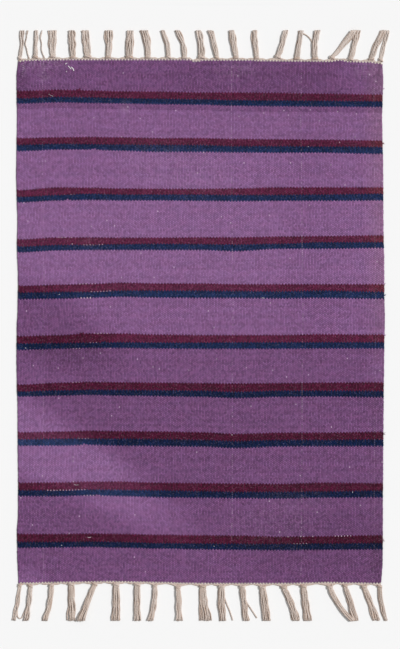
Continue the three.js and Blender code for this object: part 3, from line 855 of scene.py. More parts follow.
grey = add(tree, "CombineXYZ", lightness, lightness, lightness)
undyed = add(tree, "MixRGB", 1.0, UNDYED_WOOL, grey, blend_type="MULTIPLY")
wool_colour = add(tree, "MixRGB", pale, hairy, undyed)
below_first = add(tree, "Math", pass_number, -0.5, operation="LESS_THAN")
above_last = add(tree, "Math", pass_number, PASSES - 0.5, operation="GREATER_THAN")
in_hem = add(tree, "Math", below_first, above_last, operation="ADD")
hem = add(tree, "MixRGB", 1.0, CREAM, grey, blend_type="MULTIPLY")
shader = add(tree, "BsdfPrincipled", sockets={
    "Base Color": add(tree, "MixRGB", in_hem, wool_colour, hem),
    "Roughness": 0.95,
    "Specular IOR Level": 0.1,
    "Sheen Weight": 0.05,
    "Sheen Roughness": 0.6,
    "Normal": bumped,
})
add(tree, "OutputMaterial", shader)
cloth_mesh.materials.append(wool)
print("the wool's graph has", len(tree.nodes), "nodes")

# %% [markdown]
# ## Copies of a small shape
#
# The rest of the rug is yarn, hundreds of lengths of it. A shape that comes again and again is
# modelled once and joined into one mesh as often as it is needed, and then the corners of each
# copy move to a place of their own. That is much quicker than hundreds of objects, and what
# comes out is one piece, as the fringe is.

# %% Joining copies
def joined(name, copies, map_name, mark):
    """One object out of many copies. Each copy is a shape, the places of its corners in
    millimetres, its UVs, and the one number that all its corners get as the mark."""
    shapes, places, maps, numbers = zip(*copies)
    bm = bmesh.new()
    for shape in shapes:
        bm.from_mesh(shape)
    mesh = finished(bm, name)
    mesh.vertices.foreach_set("co", np.concatenate(places).ravel() * MM)
    while mesh.uv_layers:
        mesh.uv_layers.remove(mesh.uv_layers[0])
    mesh.uv_layers.new(name=map_name).data.foreach_set("uv", np.concatenate(maps).ravel())
    marks = np.repeat(numbers, [len(shape.vertices) for shape in shapes])
    mesh.attributes.new(mark, "FLOAT", "POINT").data.foreach_set("value", marks)
    mesh.update()
    print(name, "is", len(shapes), "copies and", len(mesh.polygons), "faces")
    return shown(name, mesh)


# %% [markdown]
# ## A length of yarn
#
# Whatever hangs or sticks out of the cloth is a length of yarn. Its shape is a thin cylinder
# with five sides, cut across by rings, so that it can be bent. The twist of the yarn is in its
# material, for which it carries a map of how far round and how far along each face is.

# %% A straight yarn
YARN_SIDES = 5


def yarn_shape(name, rings):
    """A straight yarn of unit radius and length, with its map of turns and share of length."""
    bm = bmesh.new()
    bmesh.ops.create_cone(bm, cap_ends=True, segments=YARN_SIDES, radius1=1, radius2=1, depth=1)
    bmesh.ops.translate(bm, verts=bm.verts, vec=(0, 0, 0.5))
    upright = [edge for edge in bm.edges if abs(edge.verts[0].co.z - edge.verts[1].co.z) > 0.5]
    bmesh.ops.subdivide_edges(bm, edges=upright, cuts=rings - 2, use_grid_fill=True)
    yarn_map = bm.loops.layers.uv.new("yarn")
    for face in bm.faces:
        middle = face.calc_center_median()
        way = math.atan2(middle.y, middle.x)
        outward = Vector((math.cos(way), math.sin(way)))
        for loop in face.loops:
            corner = loop.vert.co
            beside = Vector((corner.x, corner.y)).angle_signed(outward)
            loop[yarn_map].uv = ((way + beside) / (2 * math.pi), corner.z)
    print(name, "has", len(bm.faces), "faces")
    return finished(bm, name)


# %% [markdown]
# To lay a yarn, a smooth curve is drawn through a few stops. It is the usual curve through
# given points (Catmull-Rom). Each ring of the cylinder is set square to it, and the map gets
# the real length along it, so that the twist is as tight in a short yarn as in a long one.

# %% Bending a yarn
STEPS_BETWEEN_STOPS = 12


def smooth_route(stops, rings, crowding=1.0):
    """Points along a smooth curve through the stops, and how far along it each of them is. With
    crowding above 1 they stand closer together near its start."""
    stops = np.array(stops, float)
    ends = np.vstack([2 * stops[0] - stops[1], stops, 2 * stops[-1] - stops[-2]])
    t = np.linspace(0, 1, STEPS_BETWEEN_STOPS, endpoint=False)[:, None]
    fine = []
    for a, b, c, d in zip(ends, ends[1:], ends[2:], ends[3:]):
        bend = (2 * a - 5 * b + 4 * c - d) * t ** 2 + (3 * b - a - 3 * c + d) * t ** 3
        fine.append(b + ((c - a) * t + bend) / 2)
    fine = np.vstack([*fine, stops[-1:]])
    run = np.concatenate([[0], np.cumsum(np.linalg.norm(np.diff(fine, axis=0), axis=1))])
    wanted = run[-1] * np.linspace(0, 1, rings) ** crowding
    return np.column_stack([np.interp(wanted, run, fine[:, i]) for i in range(3)]), wanted


def laid_yarn(shape, route, run, thickness, upward=(0, 0, 1)):
    """The corners of a yarn laid along a route, and its map with the real length along it. The
    thickness is one number, or one for each ring."""
    corners = numbers_of(shape.vertices, "co", 3)
    ahead = np.gradient(route, axis=0)
    aside = np.cross(ahead, upward)
    ahead /= np.linalg.norm(ahead, axis=1)[:, None]
    aside /= np.linalg.norm(aside, axis=1)[:, None]
    above = np.cross(ahead, aside)
    ring = np.rint(corners[:, 2] * (len(route) - 1)).astype(int)
    out = aside[ring] * corners[:, :1] + above[ring] * corners[:, 1:2]
    yarn_map = numbers_of(shape.uv_layers["yarn"].data, "uv", 2)
    yarn_map[:, 1] = np.interp(yarn_map[:, 1], np.linspace(0, 1, len(run)), run * MM)
    radius = np.broadcast_to(thickness, len(route)) / 2
    return route[ring] + radius[ring, None] * out, yarn_map


# %% [markdown]
# ## The turns of the weft
#
# At each side the weft turns round the last warp and comes back as the next pass, so the
# selvedge is a row of small loops in the colours of the bands. One turn is a flat oval yarn,
# modelled by spinning a six-sided ring half a circle round the edge, from the back of the rug
# to the front.

# %% One turn
TURN_SIDES = 6
TURN_STEPS = 5
TURN_WIDTH = 4.4
TURN_THICKNESS = 1.3

bm = bmesh.new()
ring = bmesh.ops.create_circle(bm, segments=TURN_SIDES, radius=1)["verts"]
bmesh.ops.scale(bm, verts=ring, vec=(TURN_THICKNESS / 2, TURN_WIDTH / 2, 1))
bmesh.ops.rotate(bm, verts=ring, cent=(0, 0, 0), matrix=Matrix.Rotation(math.pi / 2, 3, "Y"))
bmesh.ops.translate(bm, verts=ring, vec=(0, 0, (THICKNESS - TURN_THICKNESS) / 2))
bmesh.ops.spin(bm, geom=bm.edges[:] + bm.verts[:], cent=(0, 0, 0), axis=(0, 1, 0),
               angle=math.pi, steps=TURN_STEPS)
bmesh.ops.holes_fill(bm, edges=[edge for edge in bm.edges if edge.is_boundary], sides=TURN_SIDES)
bmesh.ops.recalc_face_normals(bm, faces=bm.faces)
turn_mesh = finished(bm, "one_turn")
turn_corners = numbers_of(turn_mesh.vertices, "co", 3)
turn_loops = numbers_of(turn_mesh.loops, "vertex_index", 1).astype(int).ravel()
print("a turn has", len(turn_mesh.polygons), "faces and spans", np.ptp(turn_corners, axis=0).round(1))

# %% [markdown]
# A turn stands at every second pass, and climbs by one pass on its way round. Its place on the
# weave map is its own bead, so it takes that bead's colour and can be made of the same wool.
# They don't stand in a perfect row, because each one is pulled a little tighter or looser.

# %% Both selvedges
TUCK_IN = 0.4
TURN_UNEVEN = 0.4
BEAD_REACH = 0.85


def laid_turn(last_warp, outward, number, draws):
    """One turn round the last warp of a side, at a pass."""
    edge_x, edge_y = cloth_places(np.array([float(last_warp)]), number + 1.0)
    tucked = TUCK_IN + draws.uniform(-TURN_UNEVEN, TURN_UNEVEN)
    centre = (edge_x[0] - outward * tucked, edge_y[0], THICKNESS / 2 + lie(edge_x, edge_y)[0])
    climb = -PASS_PITCH * turn_corners[:, 2] / THICKNESS
    turned = turn_corners * (outward, outward, 1) + np.outer(climb, (0, 1, 0))
    on_bead = BEAD_REACH * turn_corners[turn_loops, 1] / (TURN_WIDTH / 2)
    pass_there = number + 0.5 + on_bead
    warp_there = np.full(len(pass_there), max(last_warp - 1, 0) + 0.5)
    own_map = np.column_stack([warp_there * WARP_PITCH, pass_there * PASS_PITCH]) * MM
    return turn_mesh, turned + centre, own_map, depth_and_painted_light(edge_x, edge_y, np.array([number]))[0]


draws = random.Random(11)
on_sides = [laid_turn(0, -1, number, draws) for number in range(0, PASSES - 1, 2)]
on_sides += [laid_turn(WARPS, 1, number, draws) for number in range(1, PASSES - 1, 2)]
print(len(on_sides), "turns")

# %% [markdown]
# Where a new length of weft was laid in at the right-hand side, its cut end still sticks out.
# The wool has frayed there into its three yarns, which part and droop to the floor.

# %% Cut ends of weft
SHORT_RINGS = 8
CUT_ENDS = [596, 460, 105, 77, -24, -273, -541]
CUT_END_YARN = 0.8
FRAYS = (-0.8, 0, 0.8)
FRAY_BEND = 1.5
FRAY_REACH = (3, 6)

short_shape = yarn_shape("short_end", SHORT_RINGS)
for y in CUT_ENDS:
    x = right_x(y)
    marks, heights = zip(*woven_lines(RIGHT_X))
    pass_there = np.interp(y, heights, marks) // 2 * 2 + 1
    on_bead = ((WARPS - 0.5) * WARP_PITCH * MM, (pass_there + 0.5) * PASS_PITCH * MM)
    own_map = np.tile(on_bead, (len(short_shape.loops), 1))
    for fray in FRAYS:
        bend = 2 * fray + draws.uniform(-FRAY_BEND, FRAY_BEND)
        reach = draws.uniform(*FRAY_REACH)
        stops = [(x - 3, y, 1.8), (x + 1, y + 0.5 * fray, 1.8),
                 (x + 0.6 * reach, y + 0.7 * bend, 1.4), (x + reach, y + bend, 0.6)]
        places, _ = laid_yarn(short_shape, *smooth_route(stops, SHORT_RINGS), CUT_END_YARN)
        on_sides.append((short_shape, places, own_map, 0.0))
print(len(CUT_ENDS), "cut ends of weft")
selvedges = joined("selvedge_turns", on_sides, "weave", "depth_and_painted_light")
selvedges.data.materials.append(wool)

# %% [markdown]
# ## The bundles of the fringe
#
# The weaver takes ten or so neighbouring warps, draws them together and knots them close to the
# cloth. The tables hold what can be seen of each bundle, from left to right: where its knot,
# its middle and its tip are across the rug, how wide it is at those three places, and how far
# its knot is from the cloth. Rows that are 4 mm wide are single yarns which were left out of a
# knot. Each end also says which bundles lie across a neighbour, with the height that lifts
# their tips, and how much browner its cotton is than clean cream.

# %% Tables of the bundles
# knot, middle and tip across the rug, the widths there, and how far out the knot is
TOP_TASSELS = [
    (-456, -452, -451, 10, 11, 10, 8),
    (-433, -441, -436, 4, 4, 4, 8),
    (-417, -416, -415, 13, 10, 13, 8),
    (-396, -403, -401, 4, 4, 4, 8),
    (-373, -374, -372, 15, 20, 22, 9),
    (-323, -324, -326, 15, 18, 16, 7),
    (-285, -289, -293, 19, 22, 20, 8),
    (-234, -231, -231, 15, 18, 23, 7),
    (-181, -180, -178, 20, 21, 18, 7),
    (-134, -135, -143, 15, 16, 19, 7),
    (-82, -85, -97, 13, 14, 13, 7),
    (-42, -45, -60, 14, 14, 15, 6),
    (1, 0, -7, 19, 16, 13, 8),
    (40, 33, 23, 12, 15, 15, 6),
    (88, 83, 77, 14, 18, 18, 7),
    (140, 137, 135, 13, 14, 13, 7),
    (193, 205, 213, 16, 14, 13, 10),
    (241, 247, 253, 17, 13, 13, 7),
    (287, 287, 294, 17, 15, 16, 7),
    (330, 360, 387, 14, 19, 17, 9),
    (377, 386, 394, 15, 14, 18, 6),
    (429, 442, 459, 16, 15, 15, 9),
    (453, 461, 471, 11, 14, 13, 9),
]
BOTTOM_TASSELS = [
    (-456, -462, -470, 11, 13, 14, 6),
    (-430, -433, -441, 13, 12, 14, 8),
    (-377, -381, -394, 14, 12, 14, 7),
    (-327, -325, -325, 18, 16, 20, 6),
    (-268, -286, -303, 15, 15, 21, 6),
    (-214, -213, -214, 18, 18, 20, 8),
    (-161, -161, -161, 18, 16, 18, 7),
    (-116, -118, -128, 13, 14, 15, 9),
    (-58, -56, -55, 14, 13, 15, 12),
    (4, 7, 13, 19, 22, 30, 8),
    (52, 52, 56, 18, 19, 17, 8),
    (104, 109, 115, 17, 16, 18, 8),
    (155, 160, 166, 18, 20, 20, 10),
    (209, 227, 239, 17, 18, 23, 11),
    (258, 263, 269, 17, 19, 22, 9),
    (325, 345, 382, 15, 15, 15, 12),
    (363, 377, 389, 13, 16, 16, 8),
    (411, 427, 443, 16, 17, 22, 9),
    (450, 454, 466, 13, 14, 11, 8),
]
FRINGE_END = 744
TOP = {"name": "fringe_top", "outward": 1, "edge": top_y, "bundles": TOP_TASSELS,
       "over": {19: 5.0}, "browner": 0.05}
BOTTOM = {"name": "fringe_bottom", "outward": -1, "edge": bottom_y, "bundles": BOTTOM_TASSELS,
          "over": {4: 5.0, 15: 3.0}, "browner": 0.26}
for end in (TOP, BOTTOM):
    print(end["name"], "has", len(end["bundles"]), "bundles and single yarns")

# %% [markdown]
# ## Where each warp goes
#
# First comes the run of a whole bundle. It is a slow bow from knot to tip, and its width goes
# from one of its three widths to the next. A knot lies on the floor, so it is flatter than it
# is wide, and past a certain width it doesn't get any higher.

# %% The run of a bundle
STRAND = 3.2
SINGLE_YARN = 1.9
LOOSE_WIDE = 4
KNOT_FLATNESS = 0.58
KNOT_HEIGHT_MAX = 8.5


def is_single(bundle):
    return bundle[3] <= LOOSE_WIDE


def strand_thickness(bundle):
    return SINGLE_YARN if is_single(bundle) else STRAND


def knot_high(bundle):
    return min(KNOT_FLATNESS * bundle[3], KNOT_HEIGHT_MAX)


def bundle_place(bundle, end, share):
    """Middle of a bundle in X and Y and half its width, from its knot (0) to its tip (1)."""
    knot, mid, tip, *wide, knot_at = bundle
    knot_y = end["edge"](knot) + end["outward"] * knot_at
    bow = mid - (knot + tip) / 2
    x = knot + (tip - knot) * share + 4 * bow * share * (1 - share)
    y = knot_y + (end["outward"] * FRINGE_END - knot_y) * share
    return x, y, np.interp(share, (0, 0.5, 1), wide) / 2


knot_heights = [knot_high(bundle) for end in (TOP, BOTTOM) for bundle in end["bundles"]]
print("the highest knot is", max(knot_heights), "mm high")

# %% [markdown]
# A warp leaves the cloth at its own place, passes through the twined cords that hold the last
# pass, sweeps sideways to its knot and goes through it, and then hangs down its bundle. Each
# warp has a slot across the bundle and a layer in it, since twelve yarns don't fit side by
# side. Up to three layers are just enough to fill the width that the bundle has. Cotton that
# has lain folded never hangs straight, so every end has a slow wave and drifts a little in its
# slot. Where a bundle lies across its neighbour, its end is lifted over it.

# %% One warp end
STRAND_UNEVEN = 0.12
CLEAR_OF_FLOOR = 0.2
SHARES_DOWN = np.linspace(0.12, 1.0, 9)
DRIFT = 0.2
WAVE_COUNTS = (8, 17)
WAVE_SIZES = (0.5, 1.9)
CUT_UNEVEN = 1.6
LIFTS_FROM = 0.4
INTO_CLOTH, PAST_CORDS, TO_SWEEP = 3, 2.6, 4.6
INTO_KNOT, OUT_OF_KNOT = 2.4, 3.2
KNOT_SQUEEZE = 0.62
LOWEST_IN_KNOT = 0.6
SWEEP_UNEVEN, SWEEP_SHARE, SWEEP_HEIGHT = 1.2, 0.45, 0.4
LEAST_ROOM = 0.4
LAYER_STEP, LAYERS_SETTLE = 0.7, 0.2


def warp_stops(x, bundle, end, slot, height, draws):
    """Stops from inside the cloth, by the twined cords, to the far side of the knot. The height
    is the place of the warp in the knot, from 0 at the bottom to 1 on top."""
    outward = end["outward"]
    edge = end["edge"](x)
    stops = [(x, edge - outward * INTO_CLOTH, THICKNESS / 2),
             (x, edge + outward * PAST_CORDS, THICKNESS / 2)]
    if is_single(bundle):
        return stops
    knot_x, knot_y, half_wide = bundle_place(bundle, end, 0)
    in_knot = knot_x + half_wide * KNOT_SQUEEZE * slot
    high = STRAND / 2 + LOWEST_IN_KNOT + height * (knot_high(bundle) - 2 * STRAND)
    sweep_y = end["edge"]((x + knot_x) / 2) + outward * (TO_SWEEP + draws.uniform(0, SWEEP_UNEVEN))
    return stops + [
        (x + SWEEP_SHARE * (in_knot - x), sweep_y, STRAND / 2 + SWEEP_HEIGHT + height),
        (in_knot, knot_y - outward * INTO_KNOT, high),
        (in_knot, knot_y + outward * OUT_OF_KNOT, high),
    ]


def loose_stops(bundle, end, slot, layer, over, draws):
    """Stops down the loose part of a bundle. A slot runs from -1 to 1 across it."""
    drift = draws.gauss(0, DRIFT)
    wave = draws.uniform(0, 2 * math.pi)
    wave_count = draws.uniform(*WAVE_COUNTS)
    wave_size = draws.uniform(*WAVE_SIZES)
    short = draws.uniform(0, CUT_UNEVEN)
    lowest = (1 + STRAND_UNEVEN) * strand_thickness(bundle) / 2 + CLEAR_OF_FLOOR
    stops = []
    for share in SHARES_DOWN:
        x, y, half_wide = bundle_place(bundle, end, share)
        room = max(half_wide - STRAND / 2, LEAST_ROOM)
        sway = wave_size * math.sin(wave + wave_count * share) * min(1, 2 * share)
        lifted = lowest + layer * STRAND * (LAYER_STEP - LAYERS_SETTLE * share)
        lifted += over * max(0, share - LIFTS_FROM) / (1 - LIFTS_FROM)
        y -= end["outward"] * short * share
        stops.append((x + room * (slot + drift * share) + sway, y, lifted))
    return stops


# %% [markdown]
# ## Knots
#
# The knots are simple overhand ones. Seen from above, a knot is the bundle going under three
# turns of its own yarn, with one more yarn lying slantwise over the top where the end was
# passed through. The turns are a flattened helix that starts and ends beneath the knot.

# %% One knot
KNOT_YARN = 2.6
KNOT_DRAWN_IN = 1.2
KNOT_TURNS = 3
KNOT_LENGTH = 7
KNOT_SLANT = 0.9


def knot_route(bundle, end, rings):
    """The yarn that goes round a bundle."""
    x, y, half_wide = bundle_place(bundle, end, 0)
    half_high = (knot_high(bundle) - KNOT_YARN) / 2
    share = np.linspace(0, 1, rings)
    turn = 2 * math.pi * (KNOT_TURNS * share - 0.25)
    along = (share - 0.5) * (KNOT_LENGTH - KNOT_YARN) + KNOT_SLANT * np.cos(turn)
    route = np.column_stack([
        x + (half_wide - KNOT_DRAWN_IN) * np.cos(turn),
        y + end["outward"] * along,
        KNOT_YARN / 2 + half_high * (1 + np.sin(turn)),
    ])
    steps = np.linalg.norm(np.diff(route, axis=0), axis=1)
    return route, np.concatenate([[0], np.cumsum(steps)])


def slant_stops(bundle, end, side):
    """The yarn that lies slantwise over the turns."""
    x, y, half_wide = bundle_place(bundle, end, 0)
    outward = end["outward"]
    top = knot_high(bundle)
    return [
        (x - side * half_wide * 0.9, y - outward * 4.2, KNOT_YARN / 2 + 0.5),
        (x - side * half_wide * 0.75, y - outward * 2.6, top * 0.7),
        (x, y - outward * 0.2, top + 0.5),
        (x + side * half_wide * 0.7, y + outward * 2.6, top * 0.75),
        (x + side * half_wide * 0.8, y + outward * 5.5, STRAND / 2 + 0.5),
    ]


# %% [markdown]
# ## Odd ends
#
# No fringe is tidy. A few yarns have worked loose, one hangs in a loop between two bundles, and
# some stand off at the side of theirs. Each is a list of stops: across the rug, along it, and
# how high the underside of the yarn is above the floor.

# %% Loose yarns
TOP_ODD_ENDS = [
    [(-236, 700, 2), (-238, 709, 1.5), (-243, 724, 0), (-242.5, 734, 0), (-241, 743, 0)],
    [(133, 702, 2), (129.5, 712, 0.5), (127, 723, 0), (128, 735, 0), (133, 743.5, 0.5)],
    [(284, 690, 2.5), (282, 704, 1.5), (279, 716, 0), (272, 726, 0), (262, 733.5, 0),
     (250, 737, 1)],
]
BOTTOM_ODD_ENDS = [
    [(-463, -698, 1), (-463, -716, 0), (-462.4, -732, 0), (-457.4, -738.4, 0),
     (-451, -736, 0), (-446, -724.5, 0.5), (-438, -708, 2)],
    [(54, -670, 2.5), (60, -687, 1), (66, -704, 0), (72, -718, 0), (77, -733, 0), (80, -743, 0)],
    [(104, -672, 2.5), (109, -686, 1.5), (117, -700, 0), (128, -717, 0), (134, -726, 0),
     (141, -737, 0)],
]

# %% [markdown]
# ## Tying the fringes
#
# Now all of it is laid, end by end. First the warps are sorted. The two nearest to a single
# yarn are twisted into that, and each of the others goes to the nearest knot.

# %% Sorting the warps
def sorted_warps(end, warp_x):
    """Which warps go to which bundle: the nearest pair to a single yarn, the rest to a knot."""
    bundles = end["bundles"]
    free = list(warp_x)
    groups = [[] for _ in bundles]
    for group, bundle in zip(groups, bundles):
        if is_single(bundle):
            group += sorted(sorted(free, key=lambda x: abs(x - bundle[0]))[:2])
            free = [x for x in free if x not in group]
    knotted = [i for i, bundle in enumerate(bundles) if not is_single(bundle)]
    for x in free:
        nearest = min(knotted, key=lambda i: abs(x - bundles[i][0]))
        groups[nearest].append(x)
    return groups


# %% [markdown]
# Twelve yarns that all start their twist at the same place look plaited. So each gets a start
# and a pitch of its own, by a shift and a stretch of its map. Each also gets a tone, from clean
# cream to the brown of handled cotton, and the yarns at the bottom of a bundle are painted
# browner, as painted shade from the yarns over them. A yarn is thin where the weft squeezes it,
# and fluffs out to its full width past the cloth.

# %% Laying a bundle
STRAND_RINGS = 16
CROWDING = 1.2
MOST_LAYERS = 3
TONE_UNEVEN = 0.4
TWIST_UNEVEN = 0.2
THIN_IN_CLOTH = 0.45
FULL_AFTER = 14
strand_shape = yarn_shape("strand", STRAND_RINGS)


def laid_bundle(bundle, end, group, over, draws):
    """All the warps of one bundle, as copies of the strand."""
    mean_wide = (bundle[4] + bundle[5]) / 2
    layers = min(MOST_LAYERS, math.ceil(len(group) * STRAND / mean_wide))
    copies = []
    for number, x in enumerate(group):
        slot = (2 * number + 1) / len(group) - 1
        layer = number % layers
        height = layer / max(layers - 1, 1)
        stops = warp_stops(x, bundle, end, slot, height, draws)
        stops += loose_stops(bundle, end, slot, layer, over, draws)
        route, run = smooth_route(stops, STRAND_RINGS, CROWDING)
        # Painted shade: the yarns low in a bundle get a browner tone, for the shade of the yarns over
        # them
        shaded_below = (1 - height) * (layers > 1)
        tone = end["browner"] + TONE_UNEVEN * (draws.random() + shaded_below)
        uneven = draws.uniform(1 - STRAND_UNEVEN, 1 + STRAND_UNEVEN)
        fullness = np.clip(THIN_IN_CLOTH + run / FULL_AFTER, 0, 1)
        thickness = strand_thickness(bundle) * uneven * fullness
        places, twist = laid_yarn(strand_shape, route, run, thickness)
        twist *= (1, draws.uniform(1 - TWIST_UNEVEN, 1 + TWIST_UNEVEN))
        twist += (draws.random(), 0)
        copies.append((strand_shape, places, twist, tone))
    return copies


# %% [markdown]
# Along the edge of the cloth two cords are twined, which hold the last pass. They cross each
# other after every warp, so the pair is a double helix with one full turn for two warps.

# %% The twined cords
CORD = 2.2
CORD_HELIX = 1.0
CORD_AT = 3.0
CORD_STEP = 1.6
CORD_INSET = 1

cord_rings = round((RIGHT_X - LEFT_X) / CORD_STEP)
cord_shape = yarn_shape("twined_cord", cord_rings)


def twined_cord(end, lead):
    """The run of one of the two cords, which lead by half a turn on each other."""
    side_y = end["edge"](0)
    x = np.linspace(left_x(side_y) + CORD_INSET, right_x(side_y) - CORD_INSET, cord_rings)
    turn = math.pi * (x - LEFT_X) / WARP_PITCH + lead
    y = end["edge"](x) + end["outward"] * (CORD_AT + CORD_HELIX * np.cos(turn))
    z = CORD / 2 + CORD_HELIX * (1 + np.sin(turn))
    return np.column_stack([x, y, z]), x - x[0]


# %% [markdown]
# A fringe is then all its bundles, knots, odd ends and cords, joined into one piece, which is
# what it is in the plain model too. Every draw comes from one seeded source for each fringe,
# so that the rug is the same rug each time.

# %% Tying both fringes
KNOT_RINGS = 40
SLANT_RINGS = 14
CORD_TONE = 0.2
ODD_TONES = (0.4, 0.8)

knot_shape = yarn_shape("knot_turns", KNOT_RINGS)
slant_shape = yarn_shape("knot_slant", SLANT_RINGS)


def fringe(end, passes, odd_ends, seed):
    """One whole fringe, laid yarn by yarn and joined."""
    draws = random.Random(seed)
    warp_x, _ = cloth_places(np.arange(WARPS) + 0.5, float(passes))
    copies = []
    groups = sorted_warps(end, warp_x)
    print(end["name"], "has", sorted(len(group) for group in groups), "warps in its bundles")
    for i, group in enumerate(groups):
        bundle = end["bundles"][i]
        copies += laid_bundle(bundle, end, group, end["over"].get(i, 0), draws)
        if is_single(bundle):
            continue
        laid = laid_yarn(knot_shape, *knot_route(bundle, end, KNOT_RINGS), KNOT_YARN, (0, 1, 0))
        copies.append((knot_shape, *laid, draws.random()))
        slant = slant_stops(bundle, end, draws.choice((-1, 1)))
        laid = laid_yarn(slant_shape, *smooth_route(slant, SLANT_RINGS), KNOT_YARN)
        copies.append((slant_shape, *laid, draws.random()))
    for ends in odd_ends:
        stops = [(x, y, STRAND / 2 + high) for x, y, high in ends]
        laid = laid_yarn(strand_shape, *smooth_route(stops, STRAND_RINGS), STRAND)
        copies.append((strand_shape, *laid, draws.uniform(*ODD_TONES)))
    for lead in (0, math.pi):
        laid = laid_yarn(cord_shape, *twined_cord(end, lead), CORD)
        copies.append((cord_shape, *laid, CORD_TONE))
    return joined(end["name"] + "_yarns", copies, "yarn", "tone")


fringe_top = fringe(TOP, PASSES, TOP_ODD_ENDS, seed=21)
fringe_bottom = fringe(BOTTOM, 0, BOTTOM_ODD_ENDS, seed=34)

# %% [markdown]
# ## Undyed plied cotton
#
# Warp yarn is hard-spun cotton, two plies twisted together. The map on each yarn says how far
# round and how far along a point is, so two plies are two waves round the yarn that slide along
# it, one full turn every 14 mm. Cotton is matt, with a little loose fibre, drawn more than half
# a millimetre thick because a real one is too fine to show.

# %% The twist of the cotton
PLY_TURN = 14
PLY_DEPTH = 0.4
COTTON_FIBRE = 0.6
COTTON_FIBRE_LENGTH = 4 * COTTON_FIBRE
COTTON_FIBRE_RISE = 0.5

cotton, tree = new_material("undyed_plied_cotton")
on_yarn = add(tree, "SeparateXYZ", add(tree, "UVMap", uv_map="yarn"))
turns_along = add(tree, "Math", on_yarn.outputs["Y"], 1 / (PLY_TURN * MM), on_yarn.outputs["X"],
                  operation="MULTIPLY_ADD")
ply_wave = add(tree, "Math", turns_along, 2 * math.pi, operation="MULTIPLY")
ply = add(tree, "Math", add(tree, "Math", ply_wave, operation="SINE"), operation="ABSOLUTE")
on_floor = add(tree, "TexCoord").outputs["Object"]
cotton_place = add(tree, "Mapping", on_floor, sockets={
    "Scale": [1 / (size * MM) for size in (COTTON_FIBRE, COTTON_FIBRE_LENGTH, COTTON_FIBRE)],
})
fibres = add(tree, "TexNoise", cotton_place, sockets={"Scale": 1.0, "Detail": 2.0})
cotton_bump = add(tree, "Bump", sockets={
    "Strength": 1.0,
    "Distance": PLY_DEPTH * MM,
    "Height": add(tree, "Math", fibres, COTTON_FIBRE_RISE, ply, operation="MULTIPLY_ADD"),
})
print("the plies slant by", round(math.degrees(math.atan(math.pi * STRAND / PLY_TURN))), "degrees")

# %% [markdown]
# Its colour is a warm cream that isn't quite even. It is browner where the tone of its yarn
# says so and in patches along it, where it has been handled, and the creases between the plies
# are painted darker, as painted shade. Some purple dye has bled into the first centimetre past
# the cloth. Two tones below zero mark other cotton: at -1 it was never handled and is almost
# white, and at -0.5 it is warp that shows between the beads of the cloth, veiled by purple hairs.

# %% The colour of the cotton
CREAM_COTTON = linear("#dbd0c9")
BROWN_COTTON = linear("#b89f8d")
BLED_COTTON = linear("#bf9c92")
CREASE_SHADE_COLOUR = linear("#e6d8cf")
CLEAN_COTTON = linear("#f3eff3")
VEILED_COTTON = linear("#ceb4c3")
CLEAN_TONE, VEILED_TONE = -1.0, -0.5
TONE_MATCH = 0.1
CREASE_RIM = 0.5
PATCH_SIZE = (4, 22, 4)
BROWN_BY_TONE, BROWN_BY_PATCH, BROWN_FROM = 0.75, 0.9, -0.42
STAIN_STARTS, STAIN_ENDS, STAIN = 4, 16, 0.4

tone = add(tree, "Attribute", attribute_name="tone").outputs["Fac"]
patch_place = add(tree, "Mapping", on_floor, sockets={
    "Scale": [1 / (size * MM) for size in PATCH_SIZE],
})
patches = add(tree, "TexNoise", patch_place, sockets={"Scale": 1.0, "Detail": 2.0})
by_tone = add(tree, "Math", tone, BROWN_BY_TONE, BROWN_FROM, operation="MULTIPLY_ADD")
browner = add(tree, "Math", patches, BROWN_BY_PATCH, by_tone, operation="MULTIPLY_ADD", use_clamp=True)
handled = add(tree, "MixRGB", browner, CREAM_COTTON, BROWN_COTTON)
is_clean = add(tree, "Math", tone, 0, operation="LESS_THAN")
unveiled = add(tree, "MixRGB", is_clean, handled, CLEAN_COTTON)
is_veiled = add(tree, "Math", tone, VEILED_TONE, TONE_MATCH, operation="COMPARE")
undyed = add(tree, "MixRGB", is_veiled, unveiled, VEILED_COTTON)
bled = add(tree, "MapRange", on_yarn.outputs["Y"], STAIN_STARTS * MM, STAIN_ENDS * MM, STAIN, 0.0)
stained = add(tree, "MixRGB", bled, undyed, BLED_COTTON)
# Painted shade: the creases between the plies are darkened
on_ply = add(tree, "MapRange", ply, 0.0, CREASE_RIM, 0.0, 1.0)
painted_crease_shade = add(tree, "MixRGB", on_ply, CREASE_SHADE_COLOUR, linear("#ffffff"))
shader = add(tree, "BsdfPrincipled", sockets={
    "Base Color": add(tree, "MixRGB", 1.0, stained, painted_crease_shade, blend_type="MULTIPLY"),
    "Roughness": 0.9,
    "Specular IOR Level": 0.3,
    "Normal": cotton_bump,
})
add(tree, "OutputMaterial", shader)
for hanging in (fringe_top, fringe_bottom):
    hanging.data.materials.append(cotton)
print("the cotton's graph has", len(tree.nodes), "nodes")

# %% [markdown]
# ## Warps that show
#
# At some changes of colour the wefts don't quite close, and a little of the warp shows between
# two beads. Those spots are small flat beads of veiled cotton pressed into the cloth, at every
# second warp along a stretch of the line. The table has a row for each stretch: the pair of
# stripes and the line, where it starts and ends across the rug, how many of its warps show,
# and how large the spots are.

